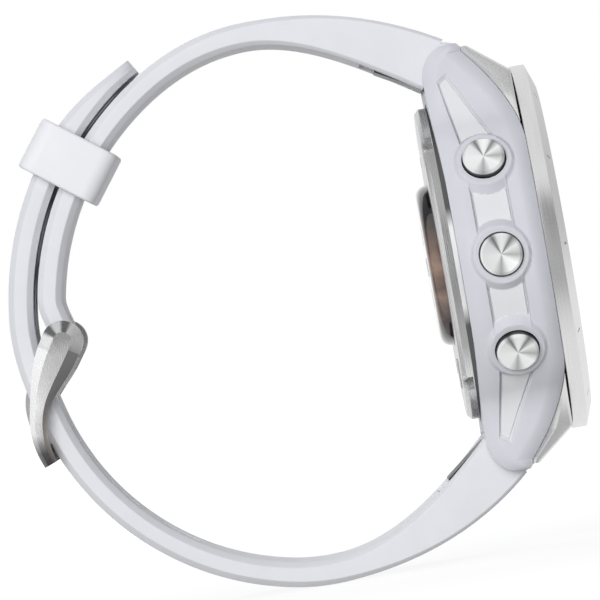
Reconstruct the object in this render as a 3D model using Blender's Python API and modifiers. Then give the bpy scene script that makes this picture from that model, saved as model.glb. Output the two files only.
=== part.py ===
"""A golf GPS watch with its strap buckled, built as separate pieces.

Units are metres. The dial faces -Y, 12 o'clock is +Z and 3 o'clock is +X.
The origin is the centre of the flat sensor window on the back of the case.
"""
import math

import bmesh
import bpy
from mathutils import Matrix, Vector

MM = 0.001
GAP = 0.3 * MM                      # clearance between touching pieces

# Case, measured along Y from the sensor face
CASE_RADIUS = 21.3 * MM             # outer radius through the button guards
GUARD_END = math.radians(46.0)      # where the round guards run into the horns
CASE_FRONT_Y = -13.08 * MM          # front of the guard
CASE_BACK_Y = -3.35 * MM            # back of the guard
CASE_BACK_RISE = 0.45 * MM          # how far the horns reach behind the middle of the back
BACK_RISE_START = 8.0 * MM
BACK_RISE_SPAN = 13.0 * MM
CASE_EDGE = 1.6 * MM                # bevel along the front of the guards
CASE_BACK_EDGE = 0.5 * MM           # the same along their back
CAVITY_RADIUS = 17.0 * MM
CAVITY_FRONT_WALL = 1.2 * MM        # ledge that carries the lens gasket
CAVITY_BACK_WALL = 1.6 * MM
LEDGE_WIDTH = 1.1 * MM
HORN_WALL = 2.7 * MM                # thickness of a horn beside the strap
HORN_OVERHANG = 2.7 * MM            # horn tip beyond the lug pin
HORN_FACE_Y = -7.7 * MM             # front of a horn's end
HORN_FACE_INSET = 1.0 * MM          # the front slope ends this far short of the tip
HORN_ROUND_HEIGHT = 4.0 * MM        # round back corner of a horn
HORN_ROUND_DEPTH = 3.2 * MM
SLOPE_REACH = 9.2 * MM              # from a lug pin to the start of the guard's front slope
SLOPE_POWER = 1.75                  # how the front edge curves into the horns
PANEL_DEPTH = 0.35 * MM             # sunk panel along each guard
PANEL_BACK_Y = -5.72 * MM
PANEL_FRONT_Y = -10.17 * MM
PANEL_TIP_BACK_Y = -4.4 * MM        # corners of its slanting ends
PANEL_TIP_FRONT_Y = -5.65 * MM
PANEL_STRAIGHT = 12.4 * MM          # half length of the part with straight edges
PANEL_TIP_INSET = 3.1 * MM          # from a horn's tip to the panel's end
PANEL_TIP_SLANT = 0.85 * MM

# Bezel, lens and dial
BEZEL_HEIGHT = 2.3 * MM
BEZEL_WALL_HEIGHT = 1.4 * MM        # top of the straight part of the bezel's side
BEZEL_FOOT_EDGE = 0.4 * MM          # bevel below it
BEZEL_RIM = 1.0 * MM                # flat rim between the bore and the bevel
BEZEL_BEVEL = 2.5 * MM              # width of the sloping front face
LENS_SEAT_WIDTH = 1.6 * MM
LENS_THICKNESS = 1.4 * MM
LENS_RECESS = 0.25 * MM
LENS_EDGE = 0.4 * MM
LENS_GASKET_WALL = 0.5 * MM
LENS_GASKET_DROP = 1.0 * MM         # how far the gasket reaches into the case
DISPLAY_THICKNESS = 1.2 * MM

# Inside the case
FRAME_WALL = 0.9 * MM
FRAME_CLEARANCE = 0.9 * MM          # between the inner frame and the switches
BOARD_INSET = 0.2 * MM
BOARD_THICKNESS = 0.9 * MM
BATTERY_WIDTH = 15.0 * MM
BATTERY_HEIGHT = 2.9 * MM
MOTOR_RADIUS = 3.2 * MM
MOTOR_HEIGHT = 2.6 * MM

# Back of the case
COVER_THICKNESS = 1.65 * MM
COVER_WALL = 0.9 * MM               # straight side of the cover
COVER_FLARE = 0.3 * MM              # how far its foot spreads below that
COVER_EDGE = 0.5 * MM
COVER_MARGIN = 1.9 * MM             # from the screw circle to the cover's rim
WINDOW_FLAT_RADIUS = 7.6 * MM
WINDOW_OVERLAP = 1.3 * MM           # how far the dome's rim lies over the cover
WINDOW_RISE = 1.5 * MM              # dome height above the rear cover
WINDOW_SKIRT = 0.9 * MM
WINDOW_SEAT_RADIUS = 8.0 * MM
SHOULDER_POWER = 0.7                # fullness of the dome's shoulder
REAR_GASKET_WIDTH = 0.8 * MM
REAR_GASKET_HEIGHT = 0.7 * MM
REAR_GASKET_ROOM = 0.5 * MM         # between the gasket and the inner frame
SCREW_WALL = 1.3 * MM               # from the back opening to the screw circle
SCREW_ANGLE = math.radians(50.0)
SCREW_HEAD_RADIUS = 1.0 * MM
SCREW_HEAD_HEIGHT = 0.7 * MM
SCREW_SINK = 0.1 * MM               # head below the cover's face
SCREW_SHANK_RADIUS = 0.45 * MM
SCREW_LENGTH = 2.0 * MM
SOCKET_RADIUS = 0.5 * MM
SOCKET_DEPTH = 0.35 * MM
PORT_WIDTH = 8.6 * MM
PORT_HEIGHT = 3.2 * MM
PORT_FROM_RIM = 5.4 * MM            # from the cover's rim to the middle of the port
PORT_SINK = 0.4 * MM                # port below the cover's face
PIN_PITCH = 1.7 * MM
PIN_RADIUS = 0.4 * MM
PIN_CLEARANCE = 0.2 * MM
PIN_PROUD = 0.2 * MM
PIN_COUNT = 4

# Buttons: each axis is a radius of the case
BUTTON_Y = -8.0 * MM
BUTTON_ANGLE = math.radians(30.0)
BUTTON_RADIUS = 2.4 * MM
BUTTON_PROUD = 0.9 * MM             # cap top above the boss
BUTTON_TRAVEL = 0.7 * MM
BUTTON_CAP_HEIGHT = 1.7 * MM
BUTTON_EDGE = 0.35 * MM
BUTTON_DISH = 0.25 * MM
BOSS_RADIUS = 3.1 * MM              # flat top of the boss round a button
BOSS_SLOPE = 0.78                   # spread of its sides for each unit of height
BOSS_DEPTH = 1.6 * MM
BOSS_PROUD = 0.4 * MM
STEM_RADIUS = 1.0 * MM
STEM_HEAD_RADIUS = 1.5 * MM
STEM_HEAD_HEIGHT = 0.4 * MM
SEAL_WIRE = 0.22 * MM
SWITCH_SIZE = 2.6 * MM
SWITCH_DEPTH = 1.3 * MM
SWITCH_CLEARANCE = 0.2 * MM         # left between stem and switch at full press

# Lugs and strap ends
LUG_PIN_Y = -5.7 * MM
LUG_REACH = 3.7 * MM                # from the rear cover's rim out to the lug pins
LUG_PIN_RADIUS = 0.9 * MM
LUG_PIN_INSET = 0.9 * MM            # horn wall left outside each pin's end
STRAP_END_RADIUS = 3.1 * MM
SLOT_CLEARANCE = 0.4 * MM           # round the strap ends
STRAP_HALF_WIDTH = 10.0 * MM        # at the lugs
STRAP_WAIST = 9.0 * MM              # half width from the first bend to the buckle
WAIST_START = 9.0 * MM              # from the lug pin, along the strap
WAIST_SPAN = 24.0 * MM
STRAP_EDGE = 0.8 * MM               # chamfer along the strap's edges
LUG_EDGE = 0.35 * MM                # the same chamfer at the lugs
PLATE_START = 3.8 * MM              # lug covers, past the straight part of the guard
PLATE_END = 0.5 * MM                # short of the horn's tip
PLATE_INSET = 0.9 * MM
PLATE_EDGE = 0.35 * MM
PLATE_BACK_EDGE = 0.6 * MM
PLATE_KNEE = 0.6 * MM               # inside the bezel's rim, where the front starts to slope
PLATE_TIP = 0.7 * MM                # thickness at the horn's tip

# Loop of the closed strap, in the Y and Z plane
UPPER_CENTRE = Vector((10.99 * MM, -1.73 * MM))
UPPER_RADIUS = 32.5 * MM            # middle of the upper strap
UPPER_THICKNESS = 2.75 * MM
UPPER_ARC_START = math.radians(10.0)
UPPER_ARC_END = math.radians(56.0)
UPPER_ARC_PULL = 12.2 * MM          # how far the arc's direction carries on towards the lug
UPPER_LUG_PULL = 16.8 * MM
UPPER_LUG_ANGLE = math.radians(33.0)
UPPER_SWELL = (0.4, 0.62)           # start and span of the thickening, as shares of the lug bend
BAR_PULL = 1.6 * MM
LOWER_RADIUS = 30.83 * MM           # middle of the lower strap
LOWER_THICKNESS = 2.86 * MM
LOWER_ARC_START = math.radians(-80.0)
LOWER_ARC_END = math.radians(-15.0)
LOWER_ARC_PULL = 9.0 * MM
LOWER_LUG_PULL = 10.8 * MM
LOWER_LUG_ANGLE = math.radians(-44.0)
LOWER_SWELL = (0.2, 0.8)
THROAT = Vector((2.756 * MM, -8.325 * MM))   # end of the lower arc, from the spring bar
TAIL_CLEARANCE = 0.5 * MM           # between the upper strap and the tail on it
TAIL_THICKNESS = 2.8 * MM
TAIL_TIP_THICKNESS = 1.7 * MM
TAIL_START = math.radians(6.0)
TAIL_THIN_ANGLE = math.radians(40.0)
TAIL_TIP_ANGLE = math.radians(58.9)
TAIL_NOSE = math.radians(9.0)       # length of the rounded end, as an angle
TAIL_NOSE_INSET = 4.5 * MM          # how far the end draws in on each side
HOLE_WIDTH = 2.7 * MM
HOLE_LENGTH = 6.0 * MM
HOLE_PITCH = 8.4 * MM
HOLES_BELOW = 3
HOLES_ABOVE = 4
TANG_HOLE_SHARE = 0.397             # place of the hole in use, between throat and tail

# Buckle: places of the arms and the tang are measured from the spring bar
BAR_ANGLE = math.radians(1.2)       # place of the spring bar round the upper arc
BAR_INSET = 1.14 * MM               # bar axis inside the middle of the strap
BAR_RADIUS = 0.65 * MM
BAR_END_WALL = 0.7 * MM
BAR_EYE_RADIUS = 1.9 * MM
KNUCKLE_RADIUS = 2.35 * MM
KNUCKLE_FACET = 1.3 * MM            # width of the knuckle's sloping rim
KNUCKLE_PROUD = 0.05 * MM           # the knuckles stand this far out from the arms
ARM_THICKNESS = 2.3 * MM
ARM_GAP = 0.5 * MM                  # between the strap's edge and an arm
ARM_BEND_1 = Vector((3.0 * MM, -4.6 * MM))
ARM_BEND_2 = Vector((5.6 * MM, -8.5 * MM))
ARM_END = Vector((3.65 * MM, -13.5 * MM))
ARM_END_DEPTH = 1.5 * MM
ARM_TAPER = 1.5 * MM                # even growth of the depth from end to bar
ARM_SHOULDER = 1.75 * MM            # further growth where an arm runs into its knuckle
SHOULDER_START = 0.12               # place of that growth, as shares of the arm
SHOULDER_SPAN = 0.45
ARM_CHAMFER = 0.9 * MM              # how far the side facets cut into an arm's thickness
ARM_FACET_SHARE = 0.28              # share of an arm's depth taken by each side facet
CROSS_BAR_POINTS = 3                # last points of the arm's line that the cross bar follows
TANG_WIDTH = 2.0 * MM
TANG_THICKNESS = 1.0 * MM
TANG_EYE_RADIUS = 1.75 * MM
TANG_START = Vector((0.6 * MM, -0.5 * MM))
TANG_BEND_1 = Vector((6.6 * MM, -5.2 * MM))
TANG_BEND_2 = Vector((5.4 * MM, -6.9 * MM))
TANG_TIP = Vector((4.5 * MM, -12.5 * MM))
TANG_SIDE_ROOM = 0.4 * MM
TANG_NOTCH_TOP = 0.9 * MM           # room in the strap above the tang's eye
TANG_NOTCH_BACK = 2.6 * MM

# Keeper and quick-release latches
KEEPER_ANGLE = math.radians(37.2)
KEEPER_LENGTH = 6.2 * MM
KEEPER_WALL = 1.4 * MM
KEEPER_CLEARANCE = 0.4 * MM
KEEPER_CORNER = 1.8 * MM            # outside corner
KEEPER_INNER_CORNER = 0.5 * MM
KEEPER_EDGE = 0.35 * MM
LATCH_WIDTH = 12.0 * MM
LATCH_LENGTH = 6.0 * MM
LATCH_THICKNESS = 1.1 * MM
LATCH_PROUD = 0.3 * MM
LATCH_TRAVEL = 1.5 * MM
LATCH_REACH = 4.6 * MM              # from the lug pin to the middle of a latch

CUT_REACH = 3.0 * MM                # how far a cutter runs past the face it opens

# Sizes that follow from the fits above
LEDGE_RADIUS = CAVITY_RADIUS - LEDGE_WIDTH
BEZEL_BORE_RADIUS = LEDGE_RADIUS + LENS_SEAT_WIDTH
BEZEL_LIP_RADIUS = BEZEL_BORE_RADIUS + BEZEL_RIM
BEZEL_RADIUS = BEZEL_LIP_RADIUS + BEZEL_BEVEL
DISPLAY_RADIUS = LEDGE_RADIUS - LENS_GASKET_WALL - 3.0 * GAP
BOSS_TOP = CASE_RADIUS + BOSS_PROUD
CAP_TOP = BOSS_TOP + BUTTON_PROUD
CAP_FOOT = CAP_TOP - BUTTON_CAP_HEIGHT
SEAL_HEIGHT = 2.0 * SEAL_WIRE + GAP
POCKET_FLOOR = CAP_FOOT - BUTTON_TRAVEL - SEAL_HEIGHT - GAP
STEM_END = CAVITY_RADIUS - GAP - STEM_HEAD_HEIGHT
SWITCH_FACE = STEM_END - BUTTON_TRAVEL - SWITCH_CLEARANCE
FRAME_RADIUS = SWITCH_FACE - SWITCH_DEPTH - FRAME_CLEARANCE
REAR_GASKET_RADIUS = FRAME_RADIUS + REAR_GASKET_ROOM + REAR_GASKET_WIDTH
BACK_OPENING_RADIUS = REAR_GASKET_RADIUS + GAP
SCREW_CIRCLE = BACK_OPENING_RADIUS + SCREW_WALL
COVER_RADIUS = SCREW_CIRCLE + COVER_MARGIN
COVER_FRONT_Y = -WINDOW_RISE - COVER_THICKNESS
PORT_Z = PORT_FROM_RIM - COVER_RADIUS
LUG_PIN_Z = COVER_RADIUS + LUG_REACH
HORN_TIP_Z = LUG_PIN_Z + HORN_OVERHANG
FLAT_HALF_HEIGHT = LUG_PIN_Z - SLOPE_REACH     # straight part of the guard's front edge
HORN_HALF_WIDTH = STRAP_HALF_WIDTH + GAP + HORN_WALL
SLOT_RADIUS = STRAP_END_RADIUS + SLOT_CLEARANCE
TAIL_INNER = UPPER_RADIUS + UPPER_THICKNESS / 2 + TAIL_CLEARANCE
ARM_INNER_X = STRAP_WAIST + ARM_GAP
ARM_OUTER_X = ARM_INNER_X + ARM_THICKNESS

# Colours, roughness and metallic value of each material
FINISHES = {
    "white_polymer": ((0.80, 0.80, 0.83), 0.45, 0.0),
    "white_silicone": ((0.82, 0.82, 0.85), 0.55, 0.0),
    "brushed_steel": ((0.72, 0.71, 0.70), 0.28, 1.0),
    "dark_steel": ((0.10, 0.10, 0.11), 0.40, 1.0),
    "dark_glass": ((0.03, 0.025, 0.025), 0.06, 0.0),
    "clear_lens": ((0.05, 0.05, 0.06), 0.05, 0.0),
    "display_black": ((0.02, 0.02, 0.025), 0.25, 0.0),
    "black_rubber": ((0.03, 0.03, 0.03), 0.70, 0.0),
    "grey_plastic": ((0.25, 0.25, 0.27), 0.50, 0.0),
    "green_board": ((0.04, 0.20, 0.10), 0.50, 0.0),
    "foil_cell": ((0.55, 0.55, 0.58), 0.35, 0.6),
    "gold_contact": ((0.90, 0.68, 0.28), 0.25, 1.0),
}

OBJECT_NAME = "golf_gps_watch"

# Sides of round pieces, and sections from the middle of the case to each horn tip
STEPS = {"large": 46, "medium": 26, "small": 18, "tiny": 12}
CASE_SECTIONS = 15
NOSE_PARTS = (0.25, 0.5, 0.7, 0.85, 0.94, 1.0)   # places of the sections along the tail's nose


def clear_scene():
    for old in list(bpy.data.objects):
        bpy.data.objects.remove(old, do_unlink=True)


def new_collection(name):
    collection = bpy.data.collections.new(name)
    bpy.context.scene.collection.children.link(collection)
    return collection


def make_material(name):
    colour, roughness, metallic = FINISHES[name]
    material = bpy.data.materials.new(name)
    material.use_nodes = True
    shader = material.node_tree.nodes["Principled BSDF"]
    shader.inputs["Base Color"].default_value = (*colour, 1.0)
    shader.inputs["Roughness"].default_value = roughness
    shader.inputs["Metallic"].default_value = metallic
    return material


clear_scene()
PARTS = new_collection(OBJECT_NAME)
CUTTERS = new_collection(OBJECT_NAME + "_cutters")
MATERIALS = {finish: make_material(finish) for finish in FINISHES}


def finish_object(name, mesh, finish, matrix=None):
    """Wrap a mesh as a part, or as a cutter where there is no finish."""
    item = bpy.data.objects.new(name, mesh)
    if matrix is not None:
        item.matrix_world = matrix
    if finish is None:
        CUTTERS.objects.link(item)
        item.hide_render = True
        item.display_type = 'WIRE'
    else:
        PARTS.objects.link(item)
        mesh.materials.append(MATERIALS[finish])
        mesh.shade_smooth()
        mesh.set_sharp_from_angle(angle=math.radians(35.0))
    return item


def mesh_from(bm, name):
    bmesh.ops.recalc_face_normals(bm, faces=bm.faces)
    mesh = bpy.data.meshes.new(name)
    bm.to_mesh(mesh)
    bm.free()
    return mesh


def loft(name, rings, finish, matrix=None):
    """Skin a row of rings that have the same number of points, with flat ends."""
    bm = bmesh.new()
    rows = [[bm.verts.new(point) for point in ring] for ring in rings]
    count = len(rows[0])
    for first, second in zip(rows, rows[1:]):
        for i in range(count):
            j = (i + 1) % count
            bm.faces.new((first[i], first[j], second[j], second[i]))
    bm.faces.new(rows[0])
    bm.faces.new(rows[-1])
    return finish_object(name, mesh_from(bm, name), finish, matrix)


def turned(name, profile, finish, matrix, steps=STEPS["large"], closed=False):
    """Spin a profile of (radius, height) points, given from the top down its outer side."""
    bm = bmesh.new()
    points = [bm.verts.new((radius, 0.0, height)) for radius, height in profile]
    for first, second in zip(points, points[1:]):
        bm.edges.new((first, second))
    if closed:
        bm.edges.new((points[-1], points[0]))
    mesh = bpy.data.meshes.new(name)
    bm.to_mesh(mesh)
    bm.free()
    item = finish_object(name, mesh, finish, matrix)
    screw = item.modifiers.new("Turn", 'SCREW')
    screw.steps = steps
    screw.render_steps = steps
    screw.use_merge_vertices = True
    screw.merge_threshold = 0.000002
    screw.use_smooth_shade = True
    return item


def disc_profile(radius, top, bottom):
    return [(0.0, top), (radius, top), (radius, bottom), (0.0, bottom)]


def ring_profile(outer, inner, top, bottom):
    return [(outer, top), (outer, bottom), (inner, bottom), (inner, top)]


def block(name, low, high, finish, matrix=None):
    bm = bmesh.new()
    bmesh.ops.create_cube(bm, size=1.0)
    size = Vector(high) - Vector(low)
    centre = (Vector(high) + Vector(low)) / 2.0
    bmesh.ops.scale(bm, vec=size, verts=bm.verts)
    bmesh.ops.translate(bm, vec=centre, verts=bm.verts)
    return finish_object(name, mesh_from(bm, name), finish, matrix)


def cylinder(name, radius, start, end, finish, steps=STEPS["small"]):
    """A round bar between two points."""
    start = Vector(start)
    end = Vector(end)
    axis = end - start
    bm = bmesh.new()
    bmesh.ops.create_cone(bm, cap_ends=True, segments=steps, radius1=radius, radius2=radius,
                          depth=axis.length)
    turn = axis.to_track_quat('Z', 'Y').to_matrix().to_4x4()
    matrix = Matrix.Translation((start + end) / 2.0) @ turn
    return finish_object(name, mesh_from(bm, name), finish, matrix)


def prism(name, outline, half_width, finish, centre_x=0.0):
    """A (Y, Z) outline with its thickness along X."""
    rings = [[(x, y, z) for y, z in outline]
             for x in (centre_x - half_width, centre_x + half_width)]
    return loft(name, rings, finish)


def combine(item, other, operation):
    step = item.modifiers.new(operation.title() + " " + other.name, 'BOOLEAN')
    step.operation = operation
    step.solver = 'EXACT'
    step.object = other


def cut(item, cutter):
    combine(item, cutter, 'DIFFERENCE')


def join(item, addition):
    combine(item, addition, 'UNION')


def blend(value):
    """Ease from 0 to 1."""
    value = min(max(value, 0.0), 1.0)
    return value * value * (3.0 - 2.0 * value)


def polar(centre, angle, radius):
    """Point of the strap loop: angle 0 is the buckle side, positive towards 12 o'clock."""
    return centre + Vector((math.cos(angle), math.sin(angle))) * radius


def tangent(angle):
    return Vector((-math.sin(angle), math.cos(angle)))


def bezier(start, start_handle, end_handle, end, t):
    u = 1.0 - t
    return (start * u ** 3 + start_handle * (3 * u * u * t)
            + end_handle * (3 * u * t * t) + end * t ** 3)


def axis_matrix(origin, direction):
    """Frame whose Z runs along a direction."""
    turn = Vector(direction).to_track_quat('Z', 'Y').to_matrix().to_4x4()
    return Matrix.Translation(Vector(origin)) @ turn


# Heights below are measured forward from the sensor face, along the dial's own axis
DIAL_FRAME = axis_matrix((0.0, 0.0, 0.0), (0.0, -1.0, 0.0))


# Case

def case_half_width(z):
    """Half width of the case: round at the guards, then running smoothly into the horns."""
    height = abs(z)
    turn_z = CASE_RADIUS * math.sin(GUARD_END)
    if height <= turn_z:
        return math.sqrt(CASE_RADIUS ** 2 - height ** 2)
    start = CASE_RADIUS * math.cos(GUARD_END)
    reach = HORN_TIP_Z - turn_z
    spread = start - HORN_HALF_WIDTH
    power = math.tan(GUARD_END) * reach / spread
    return HORN_HALF_WIDTH + spread * (1.0 - (height - turn_z) / reach) ** power


def case_front(z):
    """Front edge of the guard: straight, then a curve into the slope of the horns."""
    height = abs(z)
    if height <= FLAT_HALF_HEIGHT:
        return CASE_FRONT_Y
    share = (height - FLAT_HALF_HEIGHT) / (HORN_TIP_Z - HORN_FACE_INSET - FLAT_HALF_HEIGHT)
    return CASE_FRONT_Y + (HORN_FACE_Y - CASE_FRONT_Y) * min(share, 1.0) ** SLOPE_POWER


def case_back(z):
    """Back edge: straight, leaning back a little towards the horns, with a round end."""
    height = abs(z)
    back = CASE_BACK_Y + CASE_BACK_RISE * blend((height - BACK_RISE_START) / BACK_RISE_SPAN)
    share = min(max((height - HORN_TIP_Z) / HORN_ROUND_HEIGHT + 1.0, 0.0), 1.0)
    return back - HORN_ROUND_DEPTH * (1.0 - math.sqrt(1.0 - share ** 2))


def bevelled_section(z, half_width, front, back, front_edge, back_edge):
    """Eight-sided section across the case at a height. The bevels are limited by the depth."""
    fore = min(front_edge, 0.3 * (back - front))
    aft = min(back_edge, 0.3 * (back - front))
    return [(half_width, back - aft, z), (half_width - aft, back, z),
            (-half_width + aft, back, z), (-half_width, back - aft, z),
            (-half_width, front + fore, z), (-half_width + fore, front, z),
            (half_width - fore, front, z), (half_width, front + fore, z)]


def case_heights():
    """Section heights from the lower horn tip to the upper one, closer at the ends."""
    upper = [HORN_TIP_Z * math.sin(math.radians(90.0 * i / CASE_SECTIONS))
             for i in range(1, CASE_SECTIONS + 1)]
    return [-z for z in reversed(upper)] + [0.0] + upper


def panel_edges(z):
    """Back and front of the sunk panel at a height: straight, then drawn in along the horns."""
    height = abs(z)
    end = HORN_TIP_Z - PANEL_TIP_INSET
    corner = end - PANEL_TIP_SLANT
    share = max(height - PANEL_STRAIGHT, 0.0)
    front = PANEL_FRONT_Y + (PANEL_TIP_FRONT_Y - PANEL_FRONT_Y) * share / (end - PANEL_STRAIGHT)
    back = PANEL_BACK_Y + (PANEL_TIP_BACK_Y - PANEL_BACK_Y) * share / (corner - PANEL_STRAIGHT)
    if height > corner:
        back = PANEL_TIP_BACK_Y + (PANEL_TIP_FRONT_Y - PANEL_TIP_BACK_Y) * (height - corner) / PANEL_TIP_SLANT
    return back, front


def side_panel(name, side):
    """Cutter for the sunk panel that runs along a guard below the buttons."""
    end = HORN_TIP_Z - PANEL_TIP_INSET
    corner = end - PANEL_TIP_SLANT
    upper = steps_between(PANEL_STRAIGHT, corner, 5) + [end - 0.1 * PANEL_TIP_SLANT]
    middle = steps_between(-PANEL_STRAIGHT, PANEL_STRAIGHT, 9)
    rings = []
    for z in [-z for z in reversed(upper)] + middle[1:-1] + upper:
        outer = case_half_width(z)
        back, front = panel_edges(z)
        low = side * (outer - PANEL_DEPTH)
        high = side * (outer + CUT_REACH)
        rings.append([(low, back, z), (high, back, z), (high, front, z), (low, front, z)])
    return loft(name, rings, None)


def steps_between(low, high, count):
    return [low + (high - low) * i / (count - 1) for i in range(count)]


def button_frames():
    """Name and axis frame of each button: Z runs outward along a radius of the case."""
    places = {"button_light": math.pi - BUTTON_ANGLE, "button_up": math.pi,
              "button_down": math.pi + BUTTON_ANGLE, "button_start": BUTTON_ANGLE,
              "button_back": -BUTTON_ANGLE}
    frames = {}
    for name, angle in places.items():
        direction = (math.cos(angle), 0.0, math.sin(angle))
        frames[name] = axis_matrix((0.0, BUTTON_Y, 0.0), direction)
    return frames


BUTTONS = button_frames()


def strap_slot(name, side):
    """Cutter for the room between two horns: round behind the strap end, open outward."""
    outline = []
    for i in range(9):
        angle = math.radians(180.0 + 180.0 * i / 8)
        outline.append((LUG_PIN_Y + SLOT_RADIUS * math.cos(angle),
                        side * (LUG_PIN_Z + SLOT_RADIUS * math.sin(angle))))
    far = side * (HORN_TIP_Z + CUT_REACH)
    back = CASE_BACK_Y + CASE_BACK_RISE + CUT_REACH / 2
    mouth = side * (LUG_PIN_Z - 0.75 * SLOT_RADIUS)
    outline += [(back, mouth), (back, far), (LUG_PIN_Y - SLOT_RADIUS, far)]
    return prism(name, outline, STRAP_HALF_WIDTH + GAP, None)


def make_case():
    rings = [bevelled_section(z, case_half_width(z), case_front(z), case_back(z), CASE_EDGE, CASE_BACK_EDGE)
             for z in case_heights()]
    case = loft("case_body", rings, "white_polymer")
    for side, word in ((-1.0, "left"), (1.0, "right")):
        cut(case, side_panel("panel_" + word, side))
    spread = BOSS_RADIUS + BOSS_SLOPE * BOSS_DEPTH
    for name, frame in BUTTONS.items():
        join(case, turned(name + "_boss", [
            (0.0, BOSS_TOP), (BOSS_RADIUS, BOSS_TOP), (spread, BOSS_TOP - BOSS_DEPTH),
            (spread, CAVITY_RADIUS + GAP), (0.0, CAVITY_RADIUS + GAP)], None, frame, STEPS["medium"]))
    front = -CASE_FRONT_Y
    back = -CASE_BACK_Y + CAVITY_BACK_WALL
    cut(case, turned("case_cavity", [
        (0.0, front + CUT_REACH), (LEDGE_RADIUS, front + CUT_REACH),
        (LEDGE_RADIUS, front - CAVITY_FRONT_WALL), (CAVITY_RADIUS, front - CAVITY_FRONT_WALL),
        (CAVITY_RADIUS, back), (BACK_OPENING_RADIUS, back), (BACK_OPENING_RADIUS, 0.0), (0.0, 0.0)],
        None, DIAL_FRAME))
    seat_radius = COVER_RADIUS + COVER_FLARE + GAP
    cut(case, turned("case_back_seat", disc_profile(seat_radius, -COVER_FRONT_Y + GAP, 0.0),
                     None, DIAL_FRAME))
    for name, frame in BUTTONS.items():
        cut(case, turned(name + "_pocket", [
            (0.0, CAP_TOP + CUT_REACH), (BUTTON_RADIUS + GAP, CAP_TOP + CUT_REACH),
            (BUTTON_RADIUS + GAP, POCKET_FLOOR), (STEM_RADIUS + GAP, POCKET_FLOOR),
            (STEM_RADIUS + GAP, CAVITY_RADIUS - CUT_REACH), (0.0, CAVITY_RADIUS - CUT_REACH)],
            None, frame, STEPS["small"]))
    for side, word in ((1.0, "upper"), (-1.0, "lower")):
        cut(case, strap_slot("strap_slot_" + word, side))
        reach = HORN_HALF_WIDTH - LUG_PIN_INSET
        pin_z = side * LUG_PIN_Z
        cut(case, cylinder("lug_pin_hole_" + word, LUG_PIN_RADIUS + GAP, (-reach, LUG_PIN_Y, pin_z),
                           (reach, LUG_PIN_Y, pin_z), None, STEPS["tiny"]))
    for index, (x, z) in enumerate(screw_places()):
        cut(case, cylinder("screw_hole_%d" % (index + 1), SCREW_SHANK_RADIUS + GAP, (x, 0.0, z),
                           (x, COVER_FRONT_Y - SCREW_LENGTH - GAP, z), None, STEPS["tiny"]))


def screw_places():
    """X and Z of the four rear screws."""
    x = SCREW_CIRCLE * math.cos(SCREW_ANGLE)
    z = SCREW_CIRCLE * math.sin(SCREW_ANGLE)
    return [(-x, z), (x, z), (x, -z), (-x, -z)]


def make_bezel():
    """Bezel, lens, gasket and display, from the front back. Gives the height of the display's back."""
    foot = -CASE_FRONT_Y + GAP
    top = foot + BEZEL_HEIGHT
    lens_top = top - LENS_RECESS
    lens_foot = lens_top - LENS_THICKNESS
    seat = lens_foot - GAP
    turned("bezel_ring", [
        (BEZEL_LIP_RADIUS, top), (BEZEL_RADIUS, foot + BEZEL_WALL_HEIGHT),
        (BEZEL_RADIUS, foot + BEZEL_FOOT_EDGE), (BEZEL_RADIUS - BEZEL_FOOT_EDGE, foot),
        (LEDGE_RADIUS, foot), (LEDGE_RADIUS, seat), (BEZEL_BORE_RADIUS, seat),
        (BEZEL_BORE_RADIUS, top)], "brushed_steel", DIAL_FRAME, closed=True)
    lens_radius = BEZEL_BORE_RADIUS - GAP
    turned("lens", [
        (0.0, lens_top), (lens_radius - LENS_EDGE, lens_top), (lens_radius, lens_top - LENS_EDGE),
        (lens_radius, lens_foot), (0.0, lens_foot)], "clear_lens", DIAL_FRAME)
    gasket_radius = LEDGE_RADIUS - GAP
    turned("lens_gasket", ring_profile(gasket_radius, gasket_radius - LENS_GASKET_WALL, seat,
                                       -CASE_FRONT_Y - LENS_GASKET_DROP),
           "black_rubber", DIAL_FRAME, closed=True)
    turned("display_module", disc_profile(DISPLAY_RADIUS, seat, seat - DISPLAY_THICKNESS),
           "display_black", DIAL_FRAME)
    return seat - DISPLAY_THICKNESS


def make_lug_covers():
    """Metal wedges between the bezel and the sloping fronts of the horns."""
    low = max(FLAT_HALF_HEIGHT + PLATE_START, LEDGE_RADIUS + GAP)
    high = HORN_TIP_Z - PLATE_END
    knee = BEZEL_RADIUS - PLATE_KNEE
    tip = case_front(high) - GAP - PLATE_TIP
    for side, word in ((1.0, "upper"), (-1.0, "lower")):
        rings = []
        for z in steps_between(low, knee, 5) + steps_between(knee, high, 5)[1:]:
            share = max(z - knee, 0.0) / (high - knee)
            front = CASE_FRONT_Y + (tip - CASE_FRONT_Y) * share
            half = case_half_width(z) - PLATE_INSET
            rings.append(bevelled_section(side * z, half, front, case_front(z) - GAP, PLATE_EDGE,
                                          PLATE_BACK_EDGE))
        plate = loft("lug_cover_" + word, rings, "brushed_steel")
        half = STRAP_HALF_WIDTH + GAP
        cut(plate, block("strap_room_" + word, (-half, 2.0 * CASE_FRONT_Y, side * LUG_PIN_Z),
                         (half, 0.0, side * (HORN_TIP_Z + CUT_REACH)), None))


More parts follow.
